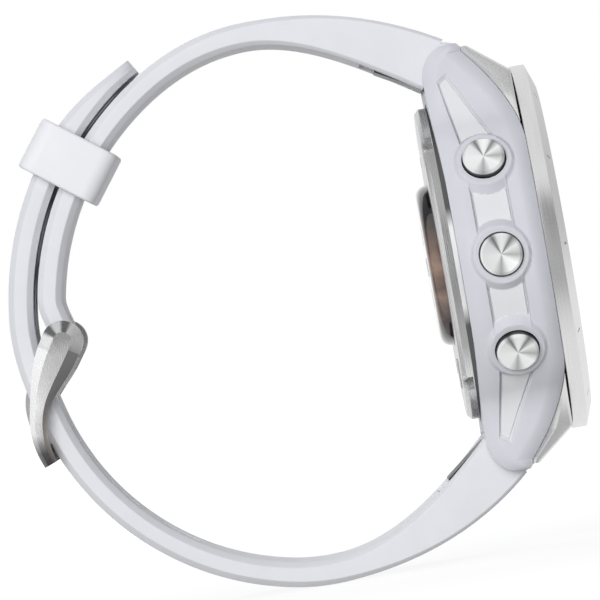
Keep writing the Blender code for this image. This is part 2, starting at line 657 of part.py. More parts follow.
def make_inside(display_back):
    """Frame, board, battery and motor, stacked behind the display."""
    frame_top = display_back - GAP
    room = FRAME_RADIUS - FRAME_WALL
    turned("inner_frame", ring_profile(FRAME_RADIUS, room, frame_top, -COVER_FRONT_Y + GAP),
           "grey_plastic", DIAL_FRAME, closed=True)
    board_top = frame_top - BOARD_INSET
    board_foot = board_top - BOARD_THICKNESS
    turned("main_board", disc_profile(room - GAP, board_top, board_foot), "green_board", DIAL_FRAME)
    cell_top = board_foot - GAP
    motor_z = MOTOR_RADIUS + GAP - room
    motor_frame = Matrix.Translation((0.0, 0.0, motor_z)) @ DIAL_FRAME
    turned("vibration_motor", disc_profile(MOTOR_RADIUS, cell_top, cell_top - MOTOR_HEIGHT),
           "foil_cell", motor_frame, STEPS["small"])
    battery_low = motor_z + MOTOR_RADIUS + GAP
    battery_high = math.sqrt((room - GAP) ** 2 - (BATTERY_WIDTH / 2) ** 2)
    block("battery", (-BATTERY_WIDTH / 2, -cell_top, battery_low),
          (BATTERY_WIDTH / 2, BATTERY_HEIGHT - cell_top, battery_high), "foil_cell")


def make_back():
    """Rear cover with its seal, screws, sensor window and charging port."""
    top = -COVER_FRONT_Y
    foot = top - COVER_THICKNESS
    cover = turned("rear_cover", [
        (COVER_RADIUS + COVER_FLARE, top), (COVER_RADIUS, foot + COVER_WALL),
        (COVER_RADIUS, foot + COVER_EDGE), (COVER_RADIUS - COVER_EDGE, foot),
        (WINDOW_SEAT_RADIUS, foot), (WINDOW_SEAT_RADIUS, top)], "brushed_steel", DIAL_FRAME, closed=True)
    recess = foot + SCREW_HEAD_HEIGHT
    for index, (x, z) in enumerate(screw_places()):
        number = index + 1
        frame = Matrix.Translation((x, 0.0, z)) @ DIAL_FRAME
        shank_hole = SCREW_SHANK_RADIUS + GAP
        head_hole = SCREW_HEAD_RADIUS + GAP
        cut(cover, turned("cover_hole_%d" % number, [
            (0.0, top + CUT_REACH), (shank_hole, top + CUT_REACH), (shank_hole, recess + GAP),
            (head_hole, recess + GAP), (head_hole, 0.0), (0.0, 0.0)], None, frame, STEPS["tiny"]))
        screw = turned("rear_screw_%d" % number, [
            (0.0, top + SCREW_LENGTH), (SCREW_SHANK_RADIUS, top + SCREW_LENGTH),
            (SCREW_SHANK_RADIUS, recess), (SCREW_HEAD_RADIUS, recess),
            (SCREW_HEAD_RADIUS, foot + SCREW_SINK), (0.0, foot + SCREW_SINK)],
            "brushed_steel", frame, STEPS["tiny"])
        cut(screw, turned("screw_socket_%d" % number, disc_profile(
            SOCKET_RADIUS, foot + SCREW_SINK + SOCKET_DEPTH, 0.0), None, frame, 6))
    turned("rear_gasket", ring_profile(REAR_GASKET_RADIUS, REAR_GASKET_RADIUS - REAR_GASKET_WIDTH,
                                       top + GAP + REAR_GASKET_HEIGHT, top + GAP),
           "black_rubber", DIAL_FRAME, closed=True)
    make_sensor(foot, top)
    make_port(cover, foot, top)


def make_sensor(foot, top):
    """Glass dome with a flat middle, a round shoulder and a foot that drops into the cover."""
    rim = WINDOW_SEAT_RADIUS + WINDOW_OVERLAP
    skirt = WINDOW_SEAT_RADIUS - GAP
    rise = foot - GAP
    profile = [(0.0, top + WINDOW_SKIRT), (skirt, top + WINDOW_SKIRT), (skirt, rise), (rim, rise)]
    for i in range(1, 6):
        angle = math.radians(90.0 * i / 5)
        radius = WINDOW_FLAT_RADIUS + (rim - WINDOW_FLAT_RADIUS) * math.cos(angle) ** SHOULDER_POWER
        profile.append((radius, rise * (1.0 - math.sin(angle))))
    profile.append((0.0, 0.0))
    turned("sensor_window", profile, "dark_glass", DIAL_FRAME)
    board_low = top + WINDOW_SKIRT + GAP
    turned("sensor_board", disc_profile(skirt, board_low + BOARD_THICKNESS, board_low),
           "green_board", DIAL_FRAME, STEPS["small"])


def make_port(cover, foot, top):
    """Insulator with a row of sprung contacts, let into the rear cover."""
    half = PORT_WIDTH / 2
    low_z = PORT_Z - PORT_HEIGHT / 2
    high_z = PORT_Z + PORT_HEIGHT / 2
    cut(cover, block("port_window", (-half - GAP, -top - CUT_REACH, low_z - GAP),
                     (half + GAP, 0.0, high_z + GAP), None))
    port_back = -foot - PORT_SINK
    port = block("charge_port", (-half, -top, low_z), (half, port_back, high_z), "black_rubber")
    for index in range(PIN_COUNT):
        x = (index - (PIN_COUNT - 1) / 2) * PIN_PITCH
        cut(port, cylinder("pin_hole_%d" % (index + 1), PIN_RADIUS + PIN_CLEARANCE, (x, 0.0, PORT_Z),
                           (x, -top - CUT_REACH, PORT_Z), None, STEPS["tiny"]))
        cylinder("charge_pin_%d" % (index + 1), PIN_RADIUS, (x, port_back + PIN_PROUD, PORT_Z),
                 (x, -top, PORT_Z), "gold_contact", STEPS["tiny"])


def make_buttons():
    """Turned caps with a dished face, each on a stem with a head inside the case."""
    rim = BUTTON_RADIUS - BUTTON_EDGE
    foot = CAP_FOOT - CAP_TOP
    head_top = STEM_END + STEM_HEAD_HEIGHT - CAP_TOP
    head_foot = STEM_END - CAP_TOP
    for name, frame in BUTTONS.items():
        place = frame @ Matrix.Translation((0.0, 0.0, CAP_TOP))
        turned(name, [
            (0.0, -BUTTON_DISH), (0.55 * rim, -0.65 * BUTTON_DISH), (rim, 0.0),
            (BUTTON_RADIUS, -BUTTON_EDGE), (BUTTON_RADIUS, foot), (STEM_RADIUS, foot),
            (STEM_RADIUS, head_top), (STEM_HEAD_RADIUS, head_top), (STEM_HEAD_RADIUS, head_foot),
            (0.0, head_foot)], "brushed_steel", place, STEPS["small"])
        make_seal(name + "_seal", frame)
        half = SWITCH_SIZE / 2
        block(name + "_switch", (-half, -half, SWITCH_FACE - SWITCH_DEPTH), (half, half, SWITCH_FACE),
              "grey_plastic", frame)


def make_seal(name, frame):
    """Rubber ring round a button's stem, on the floor of its pocket."""
    middle = STEM_RADIUS + GAP + SEAL_WIRE
    height = POCKET_FLOOR + GAP + SEAL_WIRE
    ring = []
    for i in range(6):
        angle = math.radians(60.0 * i)
        ring.append((middle + SEAL_WIRE * math.cos(angle), height - SEAL_WIRE * math.sin(angle)))
    turned(name, ring, "black_rubber", frame, STEPS["tiny"], closed=True)


# Straps

def heading(angle):
    """Unit vector in the Y and Z plane: 0 points away from the dial, positive towards 12 o'clock."""
    return Vector((math.cos(angle), math.sin(angle)))


BAR = polar(UPPER_CENTRE, BAR_ANGLE, UPPER_RADIUS - BAR_INSET)
LOWER_CENTRE = BAR + THROAT - heading(LOWER_ARC_END) * LOWER_RADIUS
LUG_PINS = {"upper": Vector((LUG_PIN_Y, LUG_PIN_Z)), "lower": Vector((LUG_PIN_Y, -LUG_PIN_Z))}


def swollen(thickness, swell, t):
    """Thickness on the way to a lug, where it reaches the round end's diameter."""
    start, span = swell
    return thickness + (2.0 * STRAP_END_RADIUS - thickness) * blend((t - start) / span)


def upper_path():
    """Middle line of the upper strap from the lug pin to the spring bar, with thicknesses."""
    path = []
    pin = LUG_PINS["upper"]
    begin = polar(UPPER_CENTRE, UPPER_ARC_END, UPPER_RADIUS)
    arc_handle = begin + tangent(UPPER_ARC_END) * UPPER_ARC_PULL
    lug_handle = pin + heading(UPPER_LUG_ANGLE) * UPPER_LUG_PULL
    for i in range(14):
        t = 1.0 - i / 14
        path.append((bezier(begin, arc_handle, lug_handle, pin, t), swollen(UPPER_THICKNESS, UPPER_SWELL, t)))
    for angle in steps_between(UPPER_ARC_END, UPPER_ARC_START, 13):
        path.append((polar(UPPER_CENTRE, angle, UPPER_RADIUS), UPPER_THICKNESS))
    start = polar(UPPER_CENTRE, UPPER_ARC_START, UPPER_RADIUS)
    lean = tangent(UPPER_ARC_START) * BAR_PULL
    for i in range(1, 4):
        path.append((bezier(start, start - lean, BAR + lean, BAR, i / 3), UPPER_THICKNESS))
    return path


def tail_thickness(angle):
    share = blend((angle - TAIL_THIN_ANGLE) / (TAIL_TIP_ANGLE - TAIL_THIN_ANGLE))
    return TAIL_THICKNESS + (TAIL_TIP_THICKNESS - TAIL_THICKNESS) * share


def tail_point(angle):
    return polar(UPPER_CENTRE, angle, TAIL_INNER + tail_thickness(angle) / 2)


def crossing_point(t):
    """Middle line where the lower strap runs out through the buckle and becomes the tail."""
    start = polar(LOWER_CENTRE, LOWER_ARC_END, LOWER_RADIUS)
    end = tail_point(TAIL_START)
    pull = (end - start).length / 3
    return bezier(start, start + tangent(LOWER_ARC_END) * pull, end - tangent(TAIL_START) * pull, end, t)


def lower_path():
    """Middle line of the lower strap from the lug pin to the tail's tip, with thicknesses."""
    path = []
    pin = LUG_PINS["lower"]
    begin = polar(LOWER_CENTRE, LOWER_ARC_START, LOWER_RADIUS)
    arc_handle = begin - tangent(LOWER_ARC_START) * LOWER_ARC_PULL
    lug_handle = pin + heading(LOWER_LUG_ANGLE) * LOWER_LUG_PULL
    for i in range(14):
        t = 1.0 - i / 14
        path.append((bezier(begin, arc_handle, lug_handle, pin, t), swollen(LOWER_THICKNESS, LOWER_SWELL, t)))
    for angle in steps_between(LOWER_ARC_START, LOWER_ARC_END, 19):
        path.append((polar(LOWER_CENTRE, angle, LOWER_RADIUS), LOWER_THICKNESS))
    for i in range(1, 6):
        t = i / 6
        path.append((crossing_point(t), LOWER_THICKNESS + (TAIL_THICKNESS - LOWER_THICKNESS) * t))
    nose = TAIL_TIP_ANGLE - TAIL_NOSE
    for angle in steps_between(TAIL_START, nose, 14) + [nose + TAIL_NOSE * part for part in NOSE_PARTS]:
        path.append((tail_point(angle), tail_thickness(angle)))
    return path


def strap_rings(path, outward, nose=0.0):
    """Chamfered sections square to a middle line that starts at a lug. Width and chamfer change
    over the first bend, and the far end is drawn in over the length of its nose.
    outward is 1 where the outer face is on the right of the line, -1 on the left."""
    places = [point for point, _ in path]
    lengths = [(second - first).length for first, second in zip(places, places[1:])]
    rings = []
    for i, (point, thickness) in enumerate(path):
        before = places[max(i - 1, 0)]
        after = places[min(i + 1, len(path) - 1)]
        share = blend((sum(lengths[:i]) - WAIST_START) / WAIST_SPAN)
        along = (after - before).normalized()
        out = Vector((along.y, -along.x)) * outward
        half = STRAP_HALF_WIDTH + (STRAP_WAIST - STRAP_HALF_WIDTH) * share
        left = sum(lengths[i:])
        if left < nose:
            half -= TAIL_NOSE_INSET * (1.0 - math.sqrt(1.0 - (1.0 - left / nose) ** 2))
        edge = min(LUG_EDGE + (STRAP_EDGE - LUG_EDGE) * share, 0.36 * thickness)
        depth = thickness / 2
        corners = [(half, depth - edge), (half - edge, depth), (edge - half, depth), (-half, depth - edge),
                   (-half, edge - depth), (edge - half, -depth), (half - edge, -depth), (half, edge - depth)]
        rings.append([(x, point.x + out.x * offset, point.y + out.y * offset) for x, offset in corners])
    return rings


def finish_lug_end(strap, word):
    """Round end over the lug pin, with the pin's bore, and the pin itself."""
    pin = LUG_PINS[word]

    def bar(name, radius, reach, finish, steps):
        return cylinder(name + word, radius, (-reach, pin.x, pin.y), (reach, pin.x, pin.y), finish, steps)

    join(strap, bar("strap_end_", STRAP_END_RADIUS, STRAP_HALF_WIDTH, None, STEPS["medium"]))
    cut(strap, bar("strap_bore_", LUG_PIN_RADIUS + GAP, STRAP_HALF_WIDTH + CUT_REACH, None, STEPS["tiny"]))
    bar("lug_pin_", LUG_PIN_RADIUS, HORN_HALF_WIDTH - LUG_PIN_INSET - GAP, "brushed_steel", STEPS["tiny"])


def latch_frame(path, side):
    """Frame on the strap's inner face near the lug: X away from the lug, Z out of the face."""
    walked = 0.0
    for (first, thickness), (second, _) in zip(path, path[1:]):
        step = (second - first).length
        if walked + step >= LATCH_REACH:
            break
        walked += step
    along = (second - first).normalized()
    inward = Vector((along.y, -along.x)) * side
    face = first + along * (LATCH_REACH - walked) + inward * (thickness / 2)
    x_axis = Vector((0.0, along.x, along.y))
    z_axis = Vector((0.0, inward.x, inward.y))
    matrix = Matrix((x_axis, z_axis.cross(x_axis), z_axis)).transposed().to_4x4()
    matrix.translation = (0.0, face.x, face.y)
    return matrix


def make_latch(strap, word, frame):
    """Flat slide in a pocket that leaves room for its travel."""
    half = LATCH_WIDTH / 2
    low = -LATCH_LENGTH / 2
    high = LATCH_LENGTH / 2
    floor = LATCH_PROUD - LATCH_THICKNESS - GAP
    cut(strap, block("latch_pocket_" + word, (low - GAP, -half - GAP, floor),
                     (high + GAP + LATCH_TRAVEL, half + GAP, CUT_REACH), None, frame))
    block("latch_" + word, (low, -half, LATCH_PROUD - LATCH_THICKNESS), (high, half, LATCH_PROUD),
          "dark_steel", frame)


def make_upper_strap():
    """Short half: hooked on the upper lug pin, with the spring bar's eye and the tang's notch."""
    path = upper_path()
    strap = loft("strap_upper", strap_rings(path, -1.0), "white_silicone")
    join(strap, cylinder("bar_eye", BAR_EYE_RADIUS, (-STRAP_WAIST, BAR.x, BAR.y),
                         (STRAP_WAIST, BAR.x, BAR.y), None, STEPS["small"]))
    reach = STRAP_WAIST + CUT_REACH
    cut(strap, cylinder("bar_bore", BAR_RADIUS + GAP, (-reach, BAR.x, BAR.y), (reach, BAR.x, BAR.y),
                        None, STEPS["tiny"]))
    notch = TANG_WIDTH / 2 + TANG_SIDE_ROOM
    below = BAR_EYE_RADIUS + CUT_REACH
    cut(strap, block("tang_notch", (-notch, BAR.x - below, BAR.y - below),
                     (notch, BAR.x + TANG_NOTCH_BACK, BAR.y + TANG_EYE_RADIUS + TANG_NOTCH_TOP), None))
    finish_lug_end(strap, "upper")
    make_latch(strap, "upper", latch_frame(path, 1.0))


def hole_cutter(name, centre, along):
    """Oblong hole through the strap, with its length along the strap."""
    out = Vector((along.y, -along.x))
    straight = (HOLE_LENGTH - HOLE_WIDTH) / 2
    outline = []
    for end in (1.0, -1.0):
        for i in range(6):
            angle = math.radians(-90.0 + 180.0 * i / 5)
            outline.append((end * (straight + HOLE_WIDTH / 2 * math.cos(angle)),
                            end * HOLE_WIDTH / 2 * math.sin(angle)))
    rings = []
    for depth in (-TAIL_THICKNESS, TAIL_THICKNESS):
        ring = []
        for a, x in outline:
            spot = centre + along * a + out * depth
            ring.append((x, spot.x, spot.y))
        rings.append(ring)
    return loft(name, rings, None)


def make_lower_strap():
    """Long half: hooked on the lower lug pin, out through the buckle and on as the tail."""
    path = lower_path()
    strap = loft("strap_lower", strap_rings(path, 1.0, TAIL_NOSE * TAIL_INNER), "white_silicone")
    finish_lug_end(strap, "lower")
    make_latch(strap, "lower", latch_frame(path, -1.0))
    centre = crossing_point(TANG_HOLE_SHARE)
    along = (crossing_point(TANG_HOLE_SHARE + 0.1) - crossing_point(TANG_HOLE_SHARE - 0.1)).normalized()
    cut(strap, hole_cutter("strap_hole_0", centre, along))
    tail_middle = TAIL_INNER + TAIL_THICKNESS / 2
    first_above = math.asin((centre.y - UPPER_CENTRE.y) / tail_middle)
    for i in range(1, HOLES_ABOVE + 1):
        angle = first_above + i * HOLE_PITCH / tail_middle
        cut(strap, hole_cutter("strap_hole_up_%d" % i, tail_point(angle), tangent(angle)))
    first_below = math.asin((centre.y - LOWER_CENTRE.y) / LOWER_RADIUS)
    for i in range(1, HOLES_BELOW + 1):
        angle = first_below - i * HOLE_PITCH / LOWER_RADIUS
        place = polar(LOWER_CENTRE, angle, LOWER_RADIUS)
        cut(strap, hole_cutter("strap_hole_down_%d" % i, place, tangent(angle)))


# Keeper and buckle

def rounded_rectangle(half_x, half_y, radius):
    points = []
    for sx, sy, start in ((1, 1, 0), (-1, 1, 90), (-1, -1, 180), (1, -1, 270)):
        for i in range(5):
            angle = math.radians(start + 90.0 * i / 4)
            points.append((sx * (half_x - radius) + radius * math.cos(angle),
                           sy * (half_y - radius) + radius * math.sin(angle)))
    return points


def make_keeper():
    """Flat loop round both straps, with rounded corners and eased edges."""
    inner_radius = UPPER_RADIUS - UPPER_THICKNESS / 2 - KEEPER_CLEARANCE
    outer_radius = TAIL_INNER + TAIL_THICKNESS + KEEPER_CLEARANCE
    half_x = STRAP_WAIST + KEEPER_CLEARANCE
    half_r = (outer_radius - inner_radius) / 2
    middle = polar(UPPER_CENTRE, KEEPER_ANGLE, (inner_radius + outer_radius) / 2)
    out = heading(KEEPER_ANGLE)
    along = tangent(KEEPER_ANGLE)

    def ring(points, step):
        spots = [(x, middle + out * r + along * step) for x, r in points]
        return [(x, spot.x, spot.y) for x, spot in spots]

    def outside(shrink):
        wall = KEEPER_WALL - shrink
        return rounded_rectangle(half_x + wall, half_r + wall, KEEPER_CORNER)

    half = KEEPER_LENGTH / 2
    rings = [ring(outside(KEEPER_EDGE), -half), ring(outside(0.0), KEEPER_EDGE - half),
             ring(outside(0.0), half - KEEPER_EDGE), ring(outside(KEEPER_EDGE), half)]
    keeper = loft("keeper", rings, "white_silicone")
    inside = rounded_rectangle(half_x, half_r, KEEPER_INNER_CORNER)
    reach = half + CUT_REACH
    cut(keeper, loft("keeper_passage", [ring(inside, -reach), ring(inside, reach)], None))


def arm_path():
    """Middle line of an arm from the bar to the cross bar, with its depths."""
    path = []
    for i in range(14):
        t = i / 13
        point = BAR + bezier(Vector((0.0, 0.0)), ARM_BEND_1, ARM_BEND_2, ARM_END, t)
        shoulder = 1.0 - blend((t - SHOULDER_START) / SHOULDER_SPAN)
        path.append((point, ARM_END_DEPTH + ARM_TAPER * (1.0 - t) + ARM_SHOULDER * shoulder))
    return path


def with_normals(path):
    """Each point of a path with its outward normal and depth."""
    result = []
    for i, (point, depth) in enumerate(path):
        before = path[max(i - 1, 0)][0]
        after = path[min(i + 1, len(path) - 1)][0]
        along = (after - before).normalized()
        result.append((point, Vector((-along.y, along.x)), depth))
    return result


def band_outline(path):
    """Outer and inner edge of a path with depths, as one outline."""
    outer = [tuple(point + out * depth / 2) for point, out, depth in with_normals(path)]
    inner = [tuple(point - out * depth / 2) for point, out, depth in with_normals(path)]
    return outer + inner[::-1]


def make_arm(name, side, path, finish):
    """One arm of the buckle: a six-sided section with facets along its outer side."""
    rings = []
    for point, out, depth in with_normals(path):
        half = depth / 2
        facet = ARM_FACET_SHARE * depth
        corners = [(ARM_INNER_X, -half), (ARM_OUTER_X - ARM_CHAMFER, -half), (ARM_OUTER_X, facet - half),
                   (ARM_OUTER_X, half - facet), (ARM_OUTER_X - ARM_CHAMFER, half), (ARM_INNER_X, half)]
        rings.append([(side * x, point.x + out.x * offset, point.y + out.y * offset)
                      for x, offset in corners])
    return loft(name, rings, finish)


def make_buckle():
    """Frame of two arms and a cross bar, turning on the spring bar with the tang between them."""
    path = arm_path()
    frame = make_arm("buckle_frame", -1.0, path, "brushed_steel")
    cross_bar = prism("cross_bar", band_outline(path[-CROSS_BAR_POINTS:]), ARM_INNER_X + ARM_GAP, None)
    join(frame, cross_bar)
    join(frame, make_arm("far_arm", 1.0, path, None))
    bar_reach = ARM_OUTER_X - BAR_END_WALL
    face = ARM_OUTER_X + KNUCKLE_PROUD
    for side, word in ((-1.0, "near"), (1.0, "far")):
        axis = axis_matrix((0.0, BAR.x, BAR.y), (side, 0.0, 0.0))
        knuckle = turned(word + "_knuckle", [
            (0.0, face), (KNUCKLE_RADIUS - KNUCKLE_FACET, face), (KNUCKLE_RADIUS, face - ARM_CHAMFER),
            (KNUCKLE_RADIUS, ARM_INNER_X - KNUCKLE_PROUD), (0.0, ARM_INNER_X - KNUCKLE_PROUD)],
            None, axis, STEPS["small"])
        join(frame, knuckle)
    cut(frame, cylinder("bar_holes", BAR_RADIUS + GAP, (-bar_reach, BAR.x, BAR.y),
                        (bar_reach, BAR.x, BAR.y), None, STEPS["tiny"]))
    cylinder("spring_bar", BAR_RADIUS, (-bar_reach + GAP, BAR.x, BAR.y), (bar_reach - GAP, BAR.x, BAR.y),
             "brushed_steel", STEPS["tiny"])
    make_tang(frame)


def make_tang(frame):
    """Flat tongue with an eye on the bar, through the strap's hole to a groove in the cross bar."""
    line = []
    for i in range(11):
        point = BAR + bezier(TANG_START, TANG_BEND_1, TANG_BEND_2, TANG_TIP, i / 10)
        line.append((point, TANG_THICKNESS))
    half = TANG_WIDTH / 2
    tang = prism("tang", band_outline(line), half, "brushed_steel")
    join(tang, cylinder("tang_eye", TANG_EYE_RADIUS, (-half, BAR.x, BAR.y), (half, BAR.x, BAR.y),
                        None, STEPS["small"]))
    reach = half + CUT_REACH
    cut(tang, cylinder("tang_bore", BAR_RADIUS + GAP, (-reach, BAR.x, BAR.y), (reach, BAR.x, BAR.y),
                       None, STEPS["tiny"]))
    groove = [(point, depth + 2.0 * GAP) for point, depth in line[5:]]
    last = (groove[-1][0] - groove[-2][0]).normalized()
    groove.append((groove[-1][0] + last * CUT_REACH, groove[-1][1]))
    cut(frame, prism("tang_groove", band_outline(groove), half + GAP, None))


make_case()
DISPLAY_BACK = make_bezel()
make_lug_covers()
make_inside(DISPLAY_BACK)
make_back()
make_buttons()
make_upper_strap()
make_lower_strap()
make_keeper()
make_buckle()
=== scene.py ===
"""Looks of the golf GPS watch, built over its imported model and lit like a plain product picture.

Units are metres. The dial faces -Y, 12 o'clock is +Z and 3 o'clock is +X.
"""

import math

import bmesh
import bpy
from mathutils import Matrix, Vector


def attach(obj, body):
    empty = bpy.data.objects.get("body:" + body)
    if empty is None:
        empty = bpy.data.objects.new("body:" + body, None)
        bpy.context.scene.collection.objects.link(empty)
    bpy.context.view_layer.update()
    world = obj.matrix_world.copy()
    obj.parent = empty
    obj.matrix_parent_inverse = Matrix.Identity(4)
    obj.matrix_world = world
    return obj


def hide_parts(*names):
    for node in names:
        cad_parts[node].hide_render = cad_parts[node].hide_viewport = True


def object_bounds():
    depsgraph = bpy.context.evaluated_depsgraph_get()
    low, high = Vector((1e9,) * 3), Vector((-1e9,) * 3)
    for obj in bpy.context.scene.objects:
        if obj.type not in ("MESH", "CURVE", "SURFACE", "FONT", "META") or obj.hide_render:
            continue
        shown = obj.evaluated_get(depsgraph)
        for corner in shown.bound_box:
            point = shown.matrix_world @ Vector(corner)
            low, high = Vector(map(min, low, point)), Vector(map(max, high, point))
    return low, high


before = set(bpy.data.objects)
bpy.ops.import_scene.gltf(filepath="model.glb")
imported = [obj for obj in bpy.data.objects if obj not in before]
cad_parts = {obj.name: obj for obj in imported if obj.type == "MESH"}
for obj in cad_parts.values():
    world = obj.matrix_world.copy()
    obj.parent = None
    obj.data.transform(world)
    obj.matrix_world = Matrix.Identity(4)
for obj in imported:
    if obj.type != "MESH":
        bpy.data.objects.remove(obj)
CAD_BOX = [list(corner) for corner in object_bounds()]

MM = 0.001
GAP = 0.3 * MM

# Case
CASE_RADIUS = 21.3 * MM
GUARD_END = math.radians(46.0)
CASE_FRONT_Y = -13.08 * MM
CASE_BACK_Y = -3.35 * MM
CASE_BACK_RISE = 0.45 * MM
BACK_RISE_START = 8.0 * MM
BACK_RISE_SPAN = 13.0 * MM
FRONT_EDGE_REACH = 1.7 * MM
FRONT_EDGE_DEPTH = 0.85 * MM
BACK_EDGE_REACH = 1.8 * MM
BACK_EDGE_DEPTH = 0.8 * MM
EDGE_POWER = 1.7
CAVITY_RADIUS = 17.0 * MM
CAVITY_FLOOR = 4.95 * MM
BACK_OPENING_RADIUS = 14.8 * MM
LEDGE_RADIUS = 15.9 * MM
LEDGE_DEPTH = 1.2 * MM
HORN_TIP_Z = 24.4 * MM
HORN_FACE_Y = -7.7 * MM
HORN_FACE_INSET = 1.0 * MM
HORN_ROUND_HEIGHT = 4.0 * MM
HORN_ROUND_DEPTH = 3.2 * MM
HORN_NOSE_HEIGHT = 0.9 * MM
HORN_NOSE_DEPTH = 0.5 * MM
FLAT_HALF_HEIGHT = 12.5 * MM
SLOPE_POWER = 1.75
HORN_HALF_WIDTH = 13.0 * MM
PANEL_DEPTH = 0.35 * MM
PANEL_BACK_Y = -5.72 * MM
PANEL_FRONT_Y = -10.17 * MM
PANEL_TIP_BACK_Y = -4.4 * MM
PANEL_TIP_FRONT_Y = -5.65 * MM
PANEL_STRAIGHT = 12.4 * MM
PANEL_END = HORN_TIP_Z - 3.1 * MM
PANEL_TIP_SLANT = 0.85 * MM
PANEL_WALL = 0.2 * MM
PANEL_GROOVE = 0.36 * MM

# Bezel, lens and dial
BEZEL_FOOT = -CASE_FRONT_Y + 0.04 * MM
BEZEL_TOP = -CASE_FRONT_Y + 2.6 * MM
BEZEL_WALL_TOP = -CASE_FRONT_Y + 1.7 * MM
BEZEL_BORE_RADIUS = 17.5 * MM
BEZEL_LIP_RADIUS = 18.5 * MM
BEZEL_RADIUS = 21.0 * MM
BEZEL_EDGE = 0.12 * MM
LENS_THICKNESS = 1.4 * MM
LENS_RECESS = 0.25 * MM
LENS_EDGE = 0.4 * MM
DISPLAY_RADIUS = 14.5 * MM
DISPLAY_DROP = 0.04 * MM
DISPLAY_DEPTH = 1.2 * MM
INK_FOOT = 0.05 * MM
INK_TOP = 0.01 * MM
TICK_INSET = 0.5 * MM
MARK_DEPTH = 0.12 * MM

# Length and width of short and long marks on the bezel and the dial
HOUR_MARKS = ((0.9 * MM, 0.2 * MM), (1.5 * MM, 0.28 * MM))
DIAL_TICKS = ((0.6 * MM, 0.08 * MM), (1.4 * MM, 0.16 * MM))

# Numbers with size and place, and the green and its bunker, in millimetres
DIAL_NUMBERS = (("146", 5.6, 0.0, -2.4), ("161", 2.4, 0.0, 3.4), ("132", 2.4, 0.0, -7.2),
                ("7", 2.2, -8.6, -0.8))
DIAL_SPOTS = (("dial_green", "dial_green", 2.1, 8.6, 0.0, (0.8, 1.2), 48),
              ("dial_bunker", "dial_sand", 0.55, 10.3, -2.6, (1.3, 0.8), 32))

# Back of the case
COVER_RADIUS = 18.0 * MM
COVER_FRONT = 3.36 * MM
SEAT_FLOOR = 3.45 * MM
SEAT_ROOM = 0.15 * MM
COVER_BACK = 1.5 * MM
COVER_EDGE = 0.5 * MM
COVER_WALL = 1.3 * MM
COVER_FLARE = 0.3 * MM
COVER_FILLET = 0.06 * MM
WALL_BAND = 0.2 * MM
WALL_FACING = 0.6
WINDOW_SEAT_RADIUS = 8.0 * MM
WINDOW_RIM_RADIUS = 9.3 * MM
WINDOW_FLAT_RADIUS = 7.6 * MM
WINDOW_FOOT = 0.9 * MM
SHOULDER_POWER = 0.7
LAMP_PITCH = 3.6 * MM
LAMP_RADIUS = 1.1 * MM
LAMP_FOOT = 0.1 * MM
LAMP_TOP = -0.01 * MM
SCREW_CIRCLE = 16.1 * MM
SCREW_ANGLE = math.radians(50.0)
SCREW_RADIUS = 0.45 * MM
SCREW_REACH = 1.0 * MM
SCREW_HEAD_RADIUS = 1.0 * MM
SCREW_HEAD_HEIGHT = 0.7 * MM
SCREW_SINK = 0.1 * MM
SCREW_ROOM = 0.15 * MM
SCREW_EDGE = 0.15 * MM
SOCKET_RADIUS = 0.5 * MM
NOTCH_DEPTH = 1.2 * MM
SOCKET_DEPTH = 0.35 * MM
PORT_WIDTH = 8.6 * MM
PORT_HEIGHT = 3.2 * MM
PORT_Z = -12.6 * MM
PORT_SINK = 0.4 * MM
PIN_PITCH = 1.7 * MM
PIN_RADIUS = 0.4 * MM
PIN_PROUD = 0.2 * MM
PIN_ROOM = 0.12 * MM
WELL_DEPTH = 0.5 * MM
PIN_COUNT = 4

# Buttons
BUTTON_Y = -8.0 * MM
BUTTON_ANGLE = math.radians(30.0)
BUTTON_RADIUS = 2.4 * MM
BUTTON_PROUD = 0.9 * MM
BUTTON_FOOT = 1.7 * MM
BUTTON_FOOT_INSET = 0.6 * MM
BUTTON_DISH = 0.2 * MM
BUTTON_EDGE = 0.3 * MM
BUTTON_ROUND = 0.25 * MM
POCKET_ROOM = 0.14 * MM
POCKET_DEPTH = 2.3 * MM
BOSS_RADIUS = 3.1 * MM
BOSS_SPAN = 2.2
BOSS_TURN = 0.5
BOSS_SLOPE = 0.78
BOSS_SOFT = 0.18 * MM
BOSS_TOP = 21.7 * MM
CAP_TOP = BOSS_TOP + BUTTON_PROUD

# Lugs and strap ends
LUG_PIN_Y = -5.7 * MM
LUG_PIN_Z = 21.7 * MM
LUG_PIN_RADIUS = 0.9 * MM
LUG_PIN_REACH = 0.6 * MM
LUG_BORE = LUG_PIN_RADIUS + 0.1 * MM
STRAP_END_RADIUS = 3.1 * MM
SLOT_RADIUS = 3.5 * MM
SLOT_FLARE = 0.75
STRAP_HALF_WIDTH = 10.0 * MM
STRAP_WAIST = 9.0 * MM
WAIST_START = 9.0 * MM
WAIST_SPAN = 24.0 * MM
STRAP_EDGE = 0.7 * MM
STRAP_EDGE_SHARE = 0.36
LUG_EDGE = 0.35 * MM
STRAP_FILLET = 0.22 * MM
STRAP_EDGE_SLANT = 1.3
PLATE_START = FLAT_HALF_HEIGHT + 1.9 * MM
PLATE_END = HORN_TIP_Z - 0.5 * MM
PLATE_INSET = 0.3 * MM
PLATE_EDGE = 0.3 * MM
PLATE_EDGE_SHARE = 0.3
PLATE_BACK_EDGE = 1.2 * MM
PLATE_BACK_INSET = 0.8 * MM
PLATE_FRONT_Y = CASE_FRONT_Y + 0.2 * MM
PLATE_KNEE = BEZEL_RADIUS - 0.6 * MM
PLATE_TIP = 0.7 * MM
PLATE_GAP = 0.05 * MM

